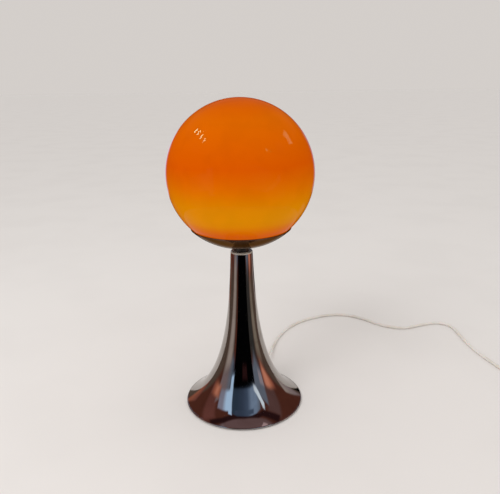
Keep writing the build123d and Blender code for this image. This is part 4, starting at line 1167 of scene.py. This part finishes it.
def make_tent():
    sides = int(360 / TENT_STEP)
    foot = -np.degrees(asin(TENT_CENTRE / TENT_RADIUS))
    rows = int((90 - foot) / TENT_STEP)
    raised = np.repeat(np.linspace(foot, 90.0, rows + 1), sides)
    turned = np.tile(np.arange(sides) * TENT_STEP - 180.0, rows + 1)
    level = TENT_RADIUS * np.cos(np.radians(raised))
    places = np.stack(
        [
            level * np.sin(np.radians(turned)),
            -level * np.cos(np.radians(turned)),
            TENT_CENTRE + TENT_RADIUS * np.sin(np.radians(raised)),
        ],
        axis=1,
    )
    faces = []
    for row in range(rows):
        for side in range(sides):
            after = (side + 1) % sides
            lower, upper = row * sides, (row + 1) * sides
            faces.append((lower + side, upper + side, upper + after, lower + after))
    mesh = bpy.data.meshes.new("tent")
    mesh.from_pydata(places.tolist(), [], faces)
    paint = mesh.color_attributes.new(name="paint", type="FLOAT_COLOR", domain="POINT")
    colours = np.ones((len(places), 4))
    colours[:, :3] = tent_colours(turned, raised)
    paint.data.foreach_set("color", colours.ravel())
    material = bpy.data.materials.new("tent_painted_reflections")
    material.use_nodes = True
    material.cycles.emission_sampling = "NONE"
    tree = material.node_tree
    tree.nodes.clear()
    painted_reflection = add_node(tree, "ShaderNodeAttribute", attribute_name="paint").outputs["Color"]
    glow = made(tree, "ShaderNodeEmission", {"Color": painted_reflection})
    add_node(tree, "ShaderNodeOutputMaterial", {"Surface": glow})
    mesh.materials.append(material)
    tent = in_scene("tent", mesh)
    # No camera, diffuse or shadow ray sees the tent: it only gives the metal and the glass their painted
    # reflections.
    for ray in ("camera", "diffuse", "transmission", "volume_scatter", "shadow"):
        setattr(tent, "visible_" + ray, False)


def make_floor():
    mesh = bpy.data.meshes.new("floor")
    half = FLOOR_SIZE / 2
    corners = [(-half, -half, 0), (half, -half, 0), (half, half, 0), (-half, half, 0)]
    mesh.from_pydata(corners, [], [(0, 1, 2, 3)])
    floor = in_scene("floor", mesh)
    finish = Finish("floor_paper", Roughness=0.9, Specular_IOR_Level=0.2)
    finish.colour(finish.effect("grain", Size=0.2, Detail=2.0)["Mask"], FLOOR_COLOUR, FLOOR_SHADE)
    mesh.materials.append(finish.material)


def make_world():
    """An even light, seen behind the lamp in the colour that the floor takes far away."""
    world = bpy.data.worlds.new("studio")
    bpy.context.scene.world = world
    world.use_nodes = True
    tree = world.node_tree
    path = tree.nodes.new("ShaderNodeLightPath").outputs
    seen = Value(tree, path["Is Camera Ray"]).math("MAXIMUM", path["Is Glossy Ray"])
    seen = seen.math("MAXIMUM", path["Is Transmission Ray"])
    far_floor = [light * paper for light, paper in zip(WORLD_COLOUR, FLOOR_COLOUR)]
    plug_in(tree, tree.nodes["Background"].inputs["Color"], mixed(tree, seen, WORLD_COLOUR, far_floor))


def area_light(name, place, aim, size, power, colour=(1.0, 1.0, 1.0), turned=0.0):
    data = bpy.data.lights.new(name, "AREA")
    data.shape = "RECTANGLE"
    data.size, data.size_y = size
    data.energy = power
    data.color = colour
    light = in_scene(name, data)
    direction = Vector(aim) - Vector(place)
    light.location = place
    light.rotation_euler = (direction.to_track_quat("-Z", "Y") @ Quaternion((0, 0, 1), turned)).to_euler()
    light.visible_glossy = False
    return light


KEY_PLACE = (-0.9, -1.1, 1.6)
KEY_AIM = (0, 0, 0.2)
KEY_SIZE = (0.9, 0.9)
KEY_POWER = 12.0

# The window panes that the glass alone mirrors: turned and raised on the tent, wide, high, lean and strength
GLASS_PANES = (
    (-91.0, 70.0, 0.009, 0.044, 12.0, 82.0),
    (-81.0, 70.6, 0.009, 0.048, 12.0, 102.0),
    (-70.0, 70.0, 0.009, 0.050, 12.0, 102.0),
    (-59.5, 68.4, 0.009, 0.046, 12.0, 106.0),
    (89.0, 67.6, 0.036, 0.130, -14.0, 14.0),
    (39.5, 62.0, 0.004, 0.060, 52.0, 110.0),
)
PANE_COLOUR = (0.5, 1.0, 0.62)


def light_panes(globe):
    """Small lights that shine on the glass alone, to be seen in it."""
    lit = bpy.data.collections.new("lit_by_panes")
    lit.objects.link(globe)
    centre = Vector((0, 0, TENT_CENTRE))
    for number, (turned, raised, wide, high, lean, strength) in enumerate(GLASS_PANES):
        level = cos(radians(raised))
        ray = Vector((level * sin(radians(turned)), -level * cos(radians(turned)), sin(radians(raised))))
        pane = area_light(
            f"pane_{number}",
            centre + TENT_RADIUS * ray,
            (0, 0, GLOBE_CENTRE),
            (wide, high),
            strength * pi * wide * high,
            PANE_COLOUR,
            radians(lean),
        )
        pane.visible_glossy = True
        pane.visible_diffuse = False
        pane.light_linking.receiver_collection = lit


# ---- Scene ----

place_camera()
make_cords(make_grips())
dress_nodes()
make_tube()
make_bulb_cap()
make_sleeve()
make_felt()
globe = make_globe()
make_dish()
make_collar()
make_flare()
make_floor()
make_tent()
make_world()
area_light("key", KEY_PLACE, KEY_AIM, KEY_SIZE, KEY_POWER)
light_panes(globe)
bpy.context.scene.view_settings.view_transform = "Standard"
